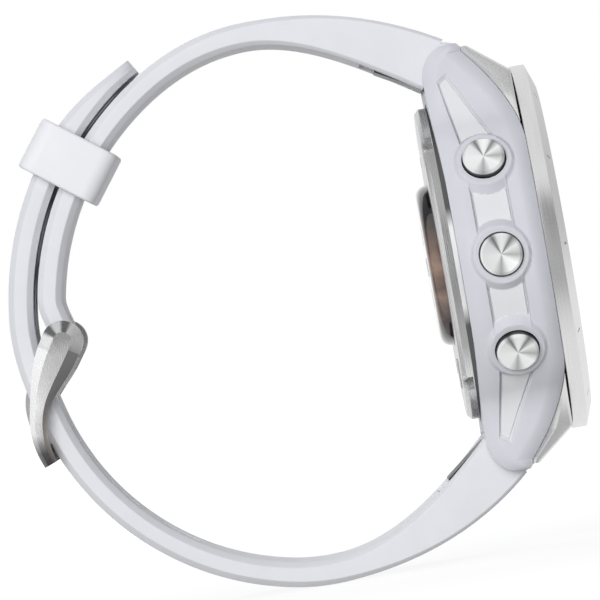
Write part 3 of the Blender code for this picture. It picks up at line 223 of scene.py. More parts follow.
# Loop of the closed strap, in the Y and Z plane
UPPER_CENTRE = Vector((10.99 * MM, -1.73 * MM))
UPPER_RADIUS = 32.5 * MM
UPPER_THICKNESS = 2.75 * MM
UPPER_ARC_START = math.radians(10.0)
UPPER_ARC_END = math.radians(56.0)
UPPER_ARC_PULL = 12.2 * MM
UPPER_LUG_PULL = 16.8 * MM
UPPER_LUG_ANGLE = math.radians(33.0)
UPPER_SWELL = (0.4, 0.62)
BAR_PULL = 1.6 * MM
LOWER_RADIUS = 30.83 * MM
LOWER_THICKNESS = 2.86 * MM
LOWER_ARC_START = math.radians(-80.0)
LOWER_ARC_END = math.radians(-15.0)
LOWER_ARC_PULL = 9.0 * MM
LOWER_LUG_PULL = 10.8 * MM
LOWER_LUG_ANGLE = math.radians(-44.0)
LOWER_SWELL = (0.2, 0.8)
THROAT = Vector((2.756 * MM, -8.325 * MM))
TAIL_THICKNESS = 2.8 * MM
TAIL_TIP_THICKNESS = 1.7 * MM
TAIL_START = math.radians(6.0)
TAIL_THIN_ANGLE = math.radians(40.0)
TAIL_TIP_ANGLE = math.radians(58.9)
TAIL_NOSE = math.radians(9.0)
TAIL_NOSE_INSET = 4.5 * MM
TAIL_INNER = UPPER_RADIUS + UPPER_THICKNESS / 2 + 0.5 * MM
HOLE_WIDTH = 2.7 * MM
HOLE_LENGTH = 6.0 * MM
HOLE_PITCH = 8.4 * MM
HOLE_SECTIONS = ((-1.0, 0.6), (-0.47, 0.14), (-0.42, 0.0), (0.42, 0.0), (0.47, 0.14), (1.0, 0.6))
HOLES_BELOW = 3
HOLES_ABOVE = 4
TANG_HOLE_SHARE = 0.397

# Buckle, keeper and latches
BAR_ANGLE = math.radians(1.2)
BAR_INSET = 1.14 * MM
BAR_RADIUS = 0.65 * MM
BAR_BORE = BAR_RADIUS + 0.1 * MM
BAR_EYE_RADIUS = 1.9 * MM
BAR_END_INSET = 1.0 * MM
EYE_NOTCH_OUT = 2.6 * MM
EYE_NOTCH_UP = 0.9 * MM
EYE_NOTCH_EDGE = 0.3 * MM
KNUCKLE_RADIUS = 2.35 * MM
KNUCKLE_FACET = 1.3 * MM
KNUCKLE_FOOT = 0.6
ARM_INNER_X = 9.5 * MM
ARM_OUTER_X = 11.8 * MM
ARM_BEND_1 = Vector((3.0 * MM, -4.6 * MM))
ARM_BEND_2 = Vector((5.6 * MM, -8.5 * MM))
ARM_END = Vector((3.65 * MM, -13.5 * MM))
ARM_END_DEPTH = 1.5 * MM
ARM_TAPER = 1.5 * MM
ARM_SHOULDER = 1.75 * MM
SHOULDER_START = 0.12
SHOULDER_SPAN = 0.45
ARM_CHAMFER = 0.9 * MM
ARM_FACET_SHARE = 0.28
RUNG_OVERLAP = 0.5 * MM
TOWARDS_WRIST = Vector((0.0, -0.94, -0.34))
INNER_FACING = 0.3
LEAST_SLANT = 0.3
MOST_SLANT = 0.97
TANG_WIDTH = 2.0 * MM
TANG_THICKNESS = 1.0 * MM
TANG_EDGE = 0.15 * MM
TANG_NOTCH_ROOM = 0.4 * MM
TANG_GROOVE_ROOM = 0.2 * MM
TANG_EYE_RADIUS = 1.75 * MM
TANG_START = Vector((0.6 * MM, -0.5 * MM))
TANG_BEND_1 = Vector((6.6 * MM, -5.2 * MM))
TANG_BEND_2 = Vector((5.4 * MM, -6.9 * MM))
TANG_TIP = Vector((4.5 * MM, -12.5 * MM))
KEEPER_ANGLE = math.radians(37.2)
KEEPER_LENGTH = 6.2 * MM
KEEPER_WALL = 1.4 * MM
KEEPER_CLEARANCE = 0.4 * MM
KEEPER_CORNER = 1.8 * MM
KEEPER_EDGE = 0.4 * MM
LATCH_WIDTH = 12.0 * MM
LATCH_LENGTH = 6.0 * MM
LATCH_THICKNESS = 1.1 * MM
LATCH_PROUD = 0.06 * MM
LATCH_ROOM = 0.05 * MM
LATCH_EDGE = 0.18 * MM
LATCH_DISH_DEPTH = 0.3 * MM
LATCH_DISH_RADIUS = 2.0 * MM
LATCH_TRAVEL = 1.5 * MM
LATCH_REACH = 4.6 * MM

# Fillets of small edges, and room round small pieces
FINE_EDGE = 0.08 * MM
SMALL_EDGE = 0.1 * MM
SOFT_EDGE = 0.2 * MM
SMALL_ROOM = 0.1 * MM

# Cutters reach this far past a surface; then fineness of the case and of rounded corners
FAR = 6.0 * MM
CASE_GRID = 0.12 * MM
LEAST_STEP = 0.02 * MM
GUARD_COLUMNS = (10, 8, 6, 6, 28, 6, 6, 8, 10)
NEARLY_STRAIGHT = math.radians(175.0)
CORNER_SHARE = 0.45


# Meshes

def mesh_from(bm, name):
    """A mesh whose faces look outward."""
    bmesh.ops.recalc_face_normals(bm, faces=bm.faces)
    if bm.calc_volume(signed=True) < 0.0:
        bmesh.ops.reverse_faces(bm, faces=bm.faces)
    mesh = bpy.data.meshes.new(name)
    bm.to_mesh(mesh)
    bm.free()
    return mesh


def new_object(name, data, matrix=None):
    item = bpy.data.objects.new(name, data)
    bpy.context.scene.collection.objects.link(item)
    if matrix is not None:
        item.matrix_world = matrix
    return item


def loft(name, rings, matrix=None, closed=False):
    """Skin a row of rings. One of a single point is a pole, open ends get caps, a closed row runs on."""
    bm = bmesh.new()
    count = max(len(ring) for ring in rings)
    rows = []
    for ring in rings:
        row = [bm.verts.new(point) for point in ring]
        rows.append(row if len(row) > 1 else row * count)
    pairs = list(zip(rows, rows[1:]))
    if closed:
        pairs.append((rows[-1], rows[0]))
    for first, second in pairs:
        for i in range(count):
            j = (i + 1) % count
            corners = list(dict.fromkeys((first[i], first[j], second[j], second[i])))
            if len(corners) > 2:
                bm.faces.new(corners)
    if not closed:
        for row in (rows[0], rows[-1]):
            if row[0] is not row[1]:
                bm.faces.new(row)
    return new_object(name, mesh_from(bm, name), matrix)


def turned(name, profile, matrix, steps=128, closed=False):
    """Spin a profile of (radius, height) points about Z."""
    rings = []
    for radius, height in profile:
        turns = [2 * math.pi * i / steps for i in range(steps if radius > 0.0 else 1)]
        rings.append([(radius * math.cos(turn), radius * math.sin(turn), height) for turn in turns])
    return loft(name, rings, matrix, closed)


def disc(name, radius, top, foot, matrix, steps=48):
    return turned(name, [(0.0, top), (radius, top), (radius, foot), (0.0, foot)], matrix, steps)


def rounded(points, radius, steps=3, closed=True):
    """Points of a flat outline with each corner turned into an arc."""
    result = []
    count = len(points)
    for i, point in enumerate(points):
        here = Vector(point)
        before = Vector(points[i - 1]) - here
        after = Vector(points[(i + 1) % count]) - here
        opening = before.angle(after)
        if opening > NEARLY_STRAIGHT or (not closed and i in (0, count - 1)):
            result.append(tuple(here))
            continue
        reach = min(radius / math.tan(opening / 2), CORNER_SHARE * before.length, CORNER_SHARE * after.length)
        start = here + before.normalized() * reach
        end = here + after.normalized() * reach
        for k in range(steps + 1):
            t = k / steps
            result.append(tuple(start * (1 - t) ** 2 + here * (2 * t * (1 - t)) + end * t ** 2))
    return result


def block(name, low, high, matrix=None, edge=0.0):
    """A box with eased edges."""
    bm = bmesh.new()
    bmesh.ops.create_cube(bm, size=1.0)
    bmesh.ops.scale(bm, vec=Vector(high) - Vector(low), verts=bm.verts)
    bmesh.ops.translate(bm, vec=(Vector(high) + Vector(low)) / 2.0, verts=bm.verts)
    if edge:
        bmesh.ops.bevel(bm, geom=bm.edges[:], offset=edge, segments=3, profile=0.5, affect='EDGES')
    return new_object(name, mesh_from(bm, name), matrix)


def bar(name, radius, start, end, steps=48, edge=0.0):
    """A round bar between two points, with eased ends."""
    axis = Vector(end) - Vector(start)
    profile = [(0.0, axis.length), (radius, axis.length), (radius, 0.0), (0.0, 0.0)]
    if edge:
        profile = rounded(profile, edge, closed=False)
    return turned(name, profile, axis_matrix(start, axis), steps)


def cross_rod(name, radius, reach, centre, steps, edge=0.0):
    """A bar along X through a point of the strap's plane."""
    return bar(name, radius, (-reach, centre.x, centre.y), (reach, centre.x, centre.y), steps, edge)


def tube(name, inner, outer, half, centre, edge):
    """A round sleeve along X with eased edges."""
    outline = rounded([(outer, half), (outer, -half), (inner, -half), (inner, half)], edge, 3)
    return turned(name, outline, axis_matrix((0.0, centre.x, centre.y), (1.0, 0.0, 0.0)), 96, True)


def prism(name, outline, half):
    return loft(name, [[(x, y, z) for y, z in outline] for x in (-half, half)])


def apply_boolean(item, others, operation='DIFFERENCE', crossing=False):
    """Cut or join other meshes and keep the result as plain geometry; crossing allows for tight bends."""
    for other in others:
        step = item.modifiers.new("Shape", 'BOOLEAN')
        step.operation = operation
        step.solver = 'EXACT'
        step.use_self = crossing
        step.object = other
    mesh = plain_mesh(item)
    item.modifiers.clear()
    old = item.data
    item.data = mesh
    bpy.data.meshes.remove(old)
    for other in others:
        bpy.data.objects.remove(other, do_unlink=True)


def plain_mesh(item):
    """A mesh of what an object shows."""
    bpy.context.view_layer.update()
    return bpy.data.meshes.new_from_object(item.evaluated_get(bpy.context.evaluated_depsgraph_get()))


def eased(item, width, angle):
    """Round the sharp edges that cuts have left."""
    step = item.modifiers.new("Ease", 'BEVEL')
    step.width = width
    step.segments = 2
    step.limit_method = 'ANGLE'
    step.angle_limit = math.radians(angle)
    step.harden_normals = False


def place(item, material, nodes, slot, smooth=24.0, body="watch"):
    """Give a piece its finish and hand it to the body that carries it."""
    item.data.materials.clear()
    item.data.materials.append(MATERIALS[material])
    item.data.shade_smooth()
    item.data.set_sharp_from_angle(angle=math.radians(smooth))
    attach(item, body)
    if nodes:
        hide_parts(*nodes)


def add_finishes(item, *names):
    """Further finishes, for single faces."""
    for name in names:
        item.data.materials.append(MATERIALS[name])


# Lines in the plane of the strap loop

def ease(value):
    value = min(max(value, 0.0), 1.0)
    return value * value * (3.0 - 2.0 * value)


def between(low, high, count):
    return [low + (high - low) * i / (count - 1) for i in range(count)]


def heading(angle):
    return Vector((math.cos(angle), math.sin(angle)))


def tangent(angle):
    return Vector((-math.sin(angle), math.cos(angle)))


def polar(centre, angle, radius):
    return centre + heading(angle) * radius


def bezier(start, start_handle, end_handle, end, t):
    u = 1.0 - t
    return (start * u ** 3 + start_handle * (3 * u * u * t)
            + end_handle * (3 * u * t * t) + end * t ** 3)


def axis_matrix(origin, direction):
    turn = Vector(direction).to_track_quat('Z', 'Y').to_matrix().to_4x4()
    return Matrix.Translation(Vector(origin)) @ turn


DIAL_FRAME = axis_matrix((0.0, 0.0, 0.0), (0.0, -1.0, 0.0))
BAR = polar(UPPER_CENTRE, BAR_ANGLE, UPPER_RADIUS - BAR_INSET)
LOWER_CENTRE = BAR + THROAT - heading(LOWER_ARC_END) * LOWER_RADIUS
LUG_PINS = {"upper": Vector((LUG_PIN_Y, LUG_PIN_Z)), "lower": Vector((LUG_PIN_Y, -LUG_PIN_Z))}


# Materials

MATERIALS = {}
WHITE = (1.0, 1.0, 1.0, 1.0)


def grey(level):
    return (level, level, level)


def greys(tones):
    return [(spot, grey(tone)) for spot, tone in tones]


class Nodes:
    """Short ways to add nodes to a tree."""

    def __init__(self, tree):
        self.tree = tree

    def link(self, source, socket):
        """Feed a socket from another node, or set it to a plain value."""
        if isinstance(source, bpy.types.NodeSocket):
            self.tree.links.new(source, socket)
        else:
            socket.default_value = source

    def node(self, kind, output, inputs, **settings):
        """One output of a new node whose inputs are linked or set."""
        made = self.tree.nodes.new("ShaderNode" + kind)
        for key, value in settings.items():
            setattr(made, key, value)
        for key, value in inputs.items():
            self.link(value, made.inputs[key])
        return made.outputs[output]

    def math(self, operation, first, second):
        return self.node("Math", 0, {0: first, 1: second}, operation=operation)

    def vectors(self, operation, output, *values):
        return self.node("VectorMath", output, dict(enumerate(values)), operation=operation)

    def part(self, vector, axis):
        return self.node("SeparateXYZ", axis, {0: vector})

    def fitted(self, source, low, high, first=0.0, last=1.0):
        return self.node("MapRange", "Result", {"Value": source, "From Min": low, "From Max": high,
                                                "To Min": first, "To Max": last})

    def turn_share(self, rise, run):
        """Angle of a direction as a share of a turn."""
        return self.fitted(self.math('ARCTAN2', rise, run), -math.pi, math.pi)

    def ramp(self, source, stops):
        made = self.tree.nodes.new("ShaderNodeValToRGB")
        steps = made.color_ramp.elements
        for step, (spot, colour) in ((steps[0], stops[0]), (steps[1], stops[-1])):
            step.position = spot
            step.color = (*colour, 1.0)
        for spot, colour in stops[1:-1]:
            steps.new(spot).color = (*colour, 1.0)
        self.link(source, made.inputs["Fac"])
        return made.outputs["Color"]

    def blended(self, share, first, second, blend_type='MIX'):
        return self.node("MixRGB", "Color", {"Fac": share, "Color1": first, "Color2": second},
                         blend_type=blend_type)

    def multiplied(self, first, second):
        return self.blended(1.0, first, second, 'MULTIPLY')

    def rays(self):
        """Whether a ray is seen, straight or through glass, and whether it is mirrored."""
        path = self.tree.nodes.new("ShaderNodeLightPath").outputs
        return self.math('MAXIMUM', path["Is Camera Ray"], path["Is Transmission Ray"]), path["Is Glossy Ray"]

    def towards(self, direction):
        """How far a direction of the world runs towards another."""
        place = self.node("TexCoord", "Generated", {})
        return self.vectors('DOT_PRODUCT', "Value", place, direction)


class Finish(Nodes):
    """A procedural material with one shader."""

    def __init__(self, name, roughness, metallic=0.0):
        material = bpy.data.materials.new(name)
        material.use_nodes = True
        super().__init__(material.node_tree)
        self.level = roughness
        self.give("Roughness", roughness)
        self.give("Metallic", metallic)
        self.place = self.node("TexCoord", "Object", {})
        MATERIALS[name] = material

    def give(self, socket, source):
        self.link(source, self.tree.nodes["Principled BSDF"].inputs[socket])

    def noise(self, scale, detail=4.0, vector=None):
        return self.node("TexNoise", "Fac", {"Scale": scale, "Detail": detail,
                                             "Vector": vector or self.place})

    def fine_marks(self, vector, scale):
        return self.noise(1.0, 5.0, self.node("Mapping", 0, {"Vector": vector, "Scale": scale}))

    def turning_marks(self):
        """Fine marks that run round the Z axis."""
        angle = self.math('ARCTAN2', self.part(self.place, "Y"), self.part(self.place, "X"))
        flat = self.vectors('MULTIPLY', "Vector", self.place, (1.0, 1.0, 0.0))
        rolled = self.node("CombineXYZ", 0, {"X": angle, "Y": self.vectors('LENGTH', "Value", flat),
                                             "Z": self.part(self.place, "Z")})
        return self.fine_marks(rolled, (3.0, 16000.0, 16000.0))

    def worn(self, source, low, high):
        """Roughness that changes a little over the surface."""
        self.give("Roughness", self.fitted(source, 0.3, 0.7, self.level + low, self.level + high))

    def bump(self, source, strength, distance=0.01 * MM):
        self.give("Normal", self.node("Bump", "Normal", {"Strength": strength, "Distance": distance,
                                                         "Height": source}))


def soft_plastic(name, light, dark, roughness, grain):
    """Moulded plastic or rubber: a fine grain, with slow changes of tone."""
    finish = Finish(name, roughness)
    finish.give("Base Color", finish.ramp(finish.noise(260.0, 3.0), [(0.3, dark), (0.7, light)]))
    finish.worn(finish.noise(900.0), -0.05, 0.06)
    finish.bump(finish.noise(grain, 3.0), 0.12, 0.02 * MM)
    finish.give("Specular IOR Level", 0.35)
    return finish


def glossy(name, light, dark, roughness, scale, extras=()):
    """Glass or lacquer with faint cloudy changes of tone."""
    finish = Finish(name, roughness)
    finish.give("Base Color", finish.ramp(finish.noise(scale), [(0.35, dark), (0.65, light)]))
    finish.worn(finish.noise(600.0), 0.0, 0.05)
    for socket, value in extras:
        finish.give(socket, value)


def steel(name, light, dark, roughness, metallic=1.0, brushed=None, shade=None, relief=0.08):
    """Metal with fine marks, brushed or turned round the Z axis. A shade is painted light and shade: an axis
    with tones along it.
    """
    finish = Finish(name, roughness, metallic)
    marks = finish.fine_marks(finish.place, brushed) if brushed else finish.turning_marks()
    surface = finish.ramp(marks, [(0.32, dark), (0.68, light)])
    if shade:
        axis, low, high, tones = shade
        along = finish.fitted(finish.part(finish.place, axis), low, high)
        surface = finish.multiplied(finish.ramp(along, tones), surface)
    finish.give("Base Color", surface)
    finish.worn(marks, -0.04, 0.06 if brushed else 0.05)
    finish.bump(marks, relief if brushed else 0.1)


# Painted reflections: tones round a spun face, by share of a turn from the left; and painted shade down its
# wall
CAP_REFLECTION_WEDGES = ((0.0, 0.92), (0.139, 0.9), (0.222, 0.42), (0.3, 0.9), (0.389, 0.95), (0.472, 0.45), (0.569, 0.9),
          (0.639, 0.2), (0.68, 0.85), (0.722, 0.95), (0.765, 0.85), (0.806, 0.16), (0.86, 0.8), (1.0, 0.92))
WALL_SHADE = ((0.0, 0.05), (0.8, 0.1), (0.86, 1.0), (1.0, 1.0))

# Painted reflections: tones round the buckle's knuckle, by share of a turn from the dial's side
KNUCKLE_REFLECTION_WEDGES = ((0.0, 0.6), (0.1, 0.4), (0.2, 0.25), (0.42, 0.8), (0.575, 0.85), (0.61, 0.14), (0.66, 0.12),
                  (0.69, 0.62), (0.75, 0.62), (0.78, 0.12), (0.83, 0.12), (0.86, 0.55), (1.0, 0.6))

# Painted reflection on the back cover's wall and painted shadow in the seam at its foot, by share of its
# height
COVER_REFLECTION_TONES = ((0.0, 1.0), (0.12, 0.95), (0.24, 0.45), (0.76, 0.45), (0.85, 0.42), (0.93, 1.0), (1.0, 1.0))
SEAM_SHADOW_TONES = ((0.0, 0.12), (0.3, 0.12), (0.36, 1.0), (0.61, 1.0), (0.67, 0.12), (1.0, 0.12))

# Painted shade and highlights on the buckle's facets, by height in millimetres: darker towards the tip,
# bright outer chamfers, and painted shade and reflection on the inner faces
FACE_SHADE_TONES = greys((
    (-14.6, 0.05), (-13.2, 0.1), (-12.2, 0.3), (-11.2, 0.72), (-8.0, 0.95), (-5.0, 0.72), (-2.6, 0.62),
    (-0.8, 0.38), (3.0, 0.38)))
EDGE_HIGHLIGHT_TONES = greys(((-14.6, 0.08), (-13.2, 0.14), (-12.0, 0.5), (-10.8, 0.95), (3.0, 0.98)))
INNER_SHADE_TONES = [(-14.6, (0.1, 0.09, 0.08)), (-13.4, (0.22, 0.2, 0.18)), (-11.4, (0.46, 0.43, 0.39)),
               (-9.0, (0.3, 0.28, 0.26)), (-7.0, (0.18, 0.175, 0.17)), (-5.0, grey(0.15)),
               (-3.0, grey(0.18)), (3.0, grey(0.2))]

# Painted reflections in the sensor's glass, from one end to the other
BLACK_GLASS = (0.008, 0.007, 0.007)
SENSOR_REFLECTION_TONES = [(0.2, BLACK_GLASS), (0.3, (0.05, 0.032, 0.024)), (0.42, (0.24, 0.15, 0.11)),
                (0.5, (0.10, 0.06, 0.045)), (0.62, (0.30, 0.20, 0.15)), (0.72, (0.15, 0.09, 0.065)),
                (0.86, (0.05, 0.032, 0.025)), (0.93, BLACK_GLASS)]
CLOUDINESS = 0.25


def spun_reflection_steel(name, roughness):
    """A spun cap: painted reflections in wedges of tone round its face, fine rings, and painted shade on the
    wall below the rim.
    """
    finish = Finish(name, roughness, 0.35)
    turn = finish.turn_share(finish.part(finish.place, "Y"), finish.part(finish.place, "X"))
    wall = finish.ramp(finish.fitted(finish.part(finish.place, "Z"), -BUTTON_FOOT, 0.0), greys(WALL_SHADE))
    finish.give("Base Color", finish.multiplied(finish.ramp(turn, greys(CAP_REFLECTION_WEDGES)), wall))
    marks = finish.turning_marks()
    finish.worn(marks, -0.05, 0.05)
    finish.bump(marks, 0.1)


def knuckle_reflection_steel(name, roughness):
    """Painted reflections: wedges of tone round the buckle's bar, as on a turned cone."""
    finish = Finish(name, roughness, 0.35)
    centred = finish.vectors('SUBTRACT', "Vector", finish.place, (0.0, BAR.x, BAR.y))
    turn = finish.turn_share(finish.part(centred, "Z"), finish.part(centred, "Y"))
    marks = finish.noise(1800.0)
    grain = finish.ramp(marks, greys(((0.3, 0.9), (0.7, 1.0))))
    finish.give("Base Color", finish.multiplied(finish.ramp(turn, greys(KNUCKLE_REFLECTION_WEDGES)), grain))
    finish.worn(marks, -0.05, 0.05)


def sensor_glass(name, radius):
    """Dark glass with painted reflections: brown in the middle, black towards the ends, with cloudy changes.
    """
    finish = Finish(name, 0.06)
    along = finish.fitted(finish.part(finish.place, "Y"), -radius, radius)
    cloudy = finish.node("Math", 0, {0: finish.noise(420.0), 1: CLOUDINESS, 2: along},
                         operation='MULTIPLY_ADD')
    finish.give("Base Color", finish.ramp(cloudy, SENSOR_REFLECTION_TONES))
    finish.give("Coat Weight", 1.0)
    finish.give("Coat Roughness", 0.04)


def make_materials():
    soft_plastic("silicone", (0.785, 0.79, 0.82), (0.76, 0.765, 0.795), 0.5, 9000.0)
    soft_plastic("loop_silicone", (0.86, 0.865, 0.89), (0.84, 0.84, 0.87), 0.5, 9000.0)
    # Two copies of the case's polymer: the darker one paints shade on the rails, edges and horns, and the
    # lighter one lights the panel floors
    soft_plastic("polymer", (0.68, 0.685, 0.73), (0.65, 0.655, 0.70), 0.42, 7000.0)
    soft_plastic("lit_panel_polymer", (0.77, 0.775, 0.79), (0.75, 0.755, 0.77), 0.45, 7000.0)
    soft_plastic("rubber", (0.035, 0.035, 0.036), (0.022, 0.022, 0.023), 0.62, 8000.0)
    soft_plastic("grey_plastic", (0.26, 0.26, 0.28), (0.2, 0.2, 0.22), 0.5, 8000.0)
    soft_plastic("board", (0.05, 0.22, 0.11), (0.03, 0.15, 0.08), 0.45, 6000.0).give("Coat Weight", 0.4)
    steel("ring_steel", grey(0.80), grey(0.70), 0.27)
    steel("cover_steel", grey(0.74), grey(0.65), 0.27, 0.65)
    # The cover's wall takes painted reflection, and the seam at its foot takes painted shadow
    for name, roughness, tones in (("wall_reflection_steel", 0.27, COVER_REFLECTION_TONES), ("seam_shadow_steel", 0.4, SEAM_SHADOW_TONES)):
        steel(name, grey(0.96), grey(0.86), roughness, 0.65, None,
              ("Y", -COVER_RADIUS, COVER_RADIUS, greys(tones)))
    steel("dark_steel", (0.09, 0.09, 0.1), (0.05, 0.05, 0.055), 0.4)
    steel("gold", (0.92, 0.70, 0.30), (0.82, 0.58, 0.22), 0.22)
    for name, metallic in (("lower_plate", 1.0), ("upper_plate", 0.74)):
        steel(name, grey(0.80), (0.71, 0.71, 0.70), 0.3, metallic, (900.0, 16000.0, 16000.0))
    steel("tang_steel", grey(0.84), grey(0.74), 0.22, 1.0, (14000.0, 900.0, 900.0))
    steel("foil", (0.66, 0.66, 0.69), (0.52, 0.52, 0.56), 0.35, 1.0, (3000.0, 3000.0, 3000.0))
    # Lit and shaded copies of the buckle's steel, with painted shade, highlight and reflection along its
    # height
    for name, roughness, tones in (("buckle_shaded_steel", 0.25, FACE_SHADE_TONES), ("edge_highlight_steel", 0.25, EDGE_HIGHLIGHT_TONES),
                                   ("inner_shaded_steel", 0.3, INNER_SHADE_TONES)):
        low, high = tones[0][0], tones[-1][0]
        shares = [((z - low) / (high - low), colour) for z, colour in tones]
        steel(name, grey(1.0), grey(0.95), roughness, 0.5, (9000.0, 9000.0, 700.0),
              ("Z", low * MM, high * MM, shares), 0.02)
    spun_reflection_steel("button_reflection_steel", 0.35)
    knuckle_reflection_steel("knuckle_reflection_steel", 0.3)
    sensor_glass("dark_glass", WINDOW_RIM_RADIUS)
    glossy("sensor_lamp", (0.03, 0.06, 0.04), (0.012, 0.025, 0.02), 0.05, 900.0, [("Coat Weight", 1.0)])
    glossy("lens_glass", (0.96, 0.97, 0.97), (0.92, 0.94, 0.94), 0.02, 200.0,
           [("Transmission Weight", 1.0), ("IOR", 1.45)])
    glossy("display", (0.022, 0.023, 0.026), (0.014, 0.015, 0.017), 0.22, 400.0)
    glossy("dial_ink", (0.74, 0.76, 0.78), (0.66, 0.68, 0.7), 0.4, 900.0)
    glossy("dial_green", (0.10, 0.42, 0.16), (0.07, 0.32, 0.12), 0.4, 700.0)
    glossy("dial_sand", (0.72, 0.62, 0.36), (0.62, 0.52, 0.28), 0.4, 900.0)


# Case

def case_half_width(z):
    height = abs(z)
    turn_z = CASE_RADIUS * math.sin(GUARD_END)
    if height <= turn_z:
        return math.sqrt(CASE_RADIUS ** 2 - height ** 2)
    reach = HORN_TIP_Z - turn_z
    spread = CASE_RADIUS * math.cos(GUARD_END) - HORN_HALF_WIDTH
    power = math.tan(GUARD_END) * reach / spread
    return HORN_HALF_WIDTH + spread * (1.0 - (height - turn_z) / reach) ** power


def round_end(z, height, depth):
    """How far an edge draws in over the last part of a horn."""
    share = min(max((abs(z) - HORN_TIP_Z) / height + 1.0, 0.0), 1.0)
    return depth * (1.0 - math.sqrt(1.0 - share ** 2))


def slope_front(z):
    """Front of the guard: straight, then curving back along the horns."""
    share = max(abs(z) - FLAT_HALF_HEIGHT, 0.0) / (HORN_TIP_Z - HORN_FACE_INSET - FLAT_HALF_HEIGHT)
    return CASE_FRONT_Y + (HORN_FACE_Y - CASE_FRONT_Y) * min(share, 1.0) ** SLOPE_POWER


def case_front(z):
    return slope_front(z) + round_end(z, HORN_NOSE_HEIGHT, HORN_NOSE_DEPTH)


def case_back(z):
    back = CASE_BACK_Y + CASE_BACK_RISE * ease((abs(z) - BACK_RISE_START) / BACK_RISE_SPAN)
    return back - round_end(z, HORN_ROUND_HEIGHT, HORN_ROUND_DEPTH)


def panel_edges(z):
    """Front and back of the sunk panel at a height; past its tips both lie together."""
    height = min(abs(z), PANEL_END)
    corner = PANEL_END - PANEL_TIP_SLANT
    past = max(height - PANEL_STRAIGHT, 0.0)
    front = PANEL_FRONT_Y + (PANEL_TIP_FRONT_Y - PANEL_FRONT_Y) * past / (PANEL_END - PANEL_STRAIGHT)
    back = PANEL_BACK_Y + (PANEL_TIP_BACK_Y - PANEL_BACK_Y) * past / (corner - PANEL_STRAIGHT)
    if height > corner:
        back = PANEL_TIP_BACK_Y + (PANEL_TIP_FRONT_Y - PANEL_TIP_BACK_Y) * (height - corner) / PANEL_TIP_SLANT
    return front, back


def panel_depth(y, z):
    """Depth of the panel with a fine groove along its foot."""
    front, back = panel_edges(z)
    inside = min(y - front, back - y) / PANEL_WALL
    groove = ease(inside) * (1.0 - ease(inside - 1.0))
    return PANEL_DEPTH * ease(inside) + PANEL_GROOVE * groove


def lean(line, z):
    """Cosine of the angle at which an outline runs past a height."""
    height = min(abs(z), HORN_TIP_Z - LEAST_STEP)
    rise = (line(height + LEAST_STEP) - line(height - LEAST_STEP)) / (2 * LEAST_STEP)
    return 1.0 / math.hypot(1.0, rise)


def edge_inset(y, z):
    """How far the rounded edges of a guard draw in."""
    front = (y - case_front(z)) * lean(case_front, z) / FRONT_EDGE_REACH
    back = (case_back(z) - y) * lean(case_back, z) / BACK_EDGE_REACH
    return max(FRONT_EDGE_DEPTH * max(1.0 - front, 0.0) ** EDGE_POWER,
               BACK_EDGE_DEPTH * max(1.0 - back, 0.0) ** EDGE_POWER)


def guard_columns(z):
    """Positions across a guard from back to front, that follow its edges and the panel's outline."""
    fore, aft = panel_edges(z)
    front = case_front(z)
    back = case_back(z)
    stops = [back, (back + aft) / 2, aft, aft - PANEL_WALL, aft - 2 * PANEL_WALL,
             fore + 2 * PANEL_WALL, fore + PANEL_WALL, fore, (fore + front) / 2, front]
    for i in range(1, len(stops)):
        stops[i] = min(stops[i], stops[i - 1] - LEAST_STEP)
    stops[-1] = front
    for i in range(len(stops) - 2, 0, -1):
        stops[i] = max(stops[i], stops[i + 1] + LEAST_STEP)
    columns = [back]
    for i, count in enumerate(GUARD_COLUMNS):
        columns += between(stops[i], stops[i + 1], count + 1)[1:]
    return columns


def guard_relief(side, y, z, radius):
    """Distance from the dial's axis of a point on a guard, with its panels and button bosses."""
    level = radius - panel_depth(y, z)
    turn = math.atan2(z, math.sqrt(max(radius ** 2 - z ** 2, 0.0)))
    for angle in (-BUTTON_ANGLE, 0.0, BUTTON_ANGLE) if side < 0 else (-BUTTON_ANGLE, BUTTON_ANGLE):
        off = turn - angle
        reach = math.hypot(level * math.sin(off), y - BUTTON_Y)
        if reach > BOSS_SPAN * BOSS_RADIUS or abs(off) > BOSS_TURN:
            continue
        over = max(reach - BOSS_RADIUS, 0.0)
        boss = (BOSS_TOP - over / BOSS_SLOPE) / math.cos(off)
        level = level + (boss - level) * ease(0.5 + (boss - level) / (2 * BOSS_SOFT))
    return level


def case_section(z):
    """Section across the case, with a column of points over each guard for its relief."""
    half = case_half_width(z)
    radius = math.hypot(half, z)
    ring = []
    for side in (-1.0, 1.0):
        row = []
        for y in guard_columns(z):
            share = guard_relief(side, y, z, radius) / radius
            row.append((side * (half * share - edge_inset(y, z)), y, z * share))
        ring += row if side < 0 else row[::-1]
    return ring


def case_heights():
    """Heights of the sections, closer near the tips, with one at each corner of the panels."""
    count = int(2 * HORN_TIP_Z / CASE_GRID)
    heights = [HORN_TIP_Z * (0.75 * t + 0.25 * math.sin(t * math.pi / 2))
               for t in between(-1.0, 1.0, count + 1)]
    corners = [PANEL_STRAIGHT, PANEL_END - PANEL_TIP_SLANT, PANEL_END]
    corners += [-corner for corner in corners]
    heights = [z for z in heights if min(abs(z - corner) for corner in corners) > LEAST_STEP]
    return sorted(heights + corners)


def in_panel(x, y, z):
    """Whether a point of a guard lies on the floor of a panel, clear of the bosses."""
    front, back = panel_edges(z)
    if abs(z) > PANEL_END or not front + PANEL_WALL < y < back - PANEL_WALL:
        return False
    height = z * CASE_RADIUS / math.hypot(x, z)
    floor = CASE_RADIUS - panel_depth(y, height)
    lifted = guard_relief(math.copysign(1.0, x), y, height, CASE_RADIUS) - floor
    return abs(z) > CASE_RADIUS * math.sin(GUARD_END) or lifted < LEAST_STEP


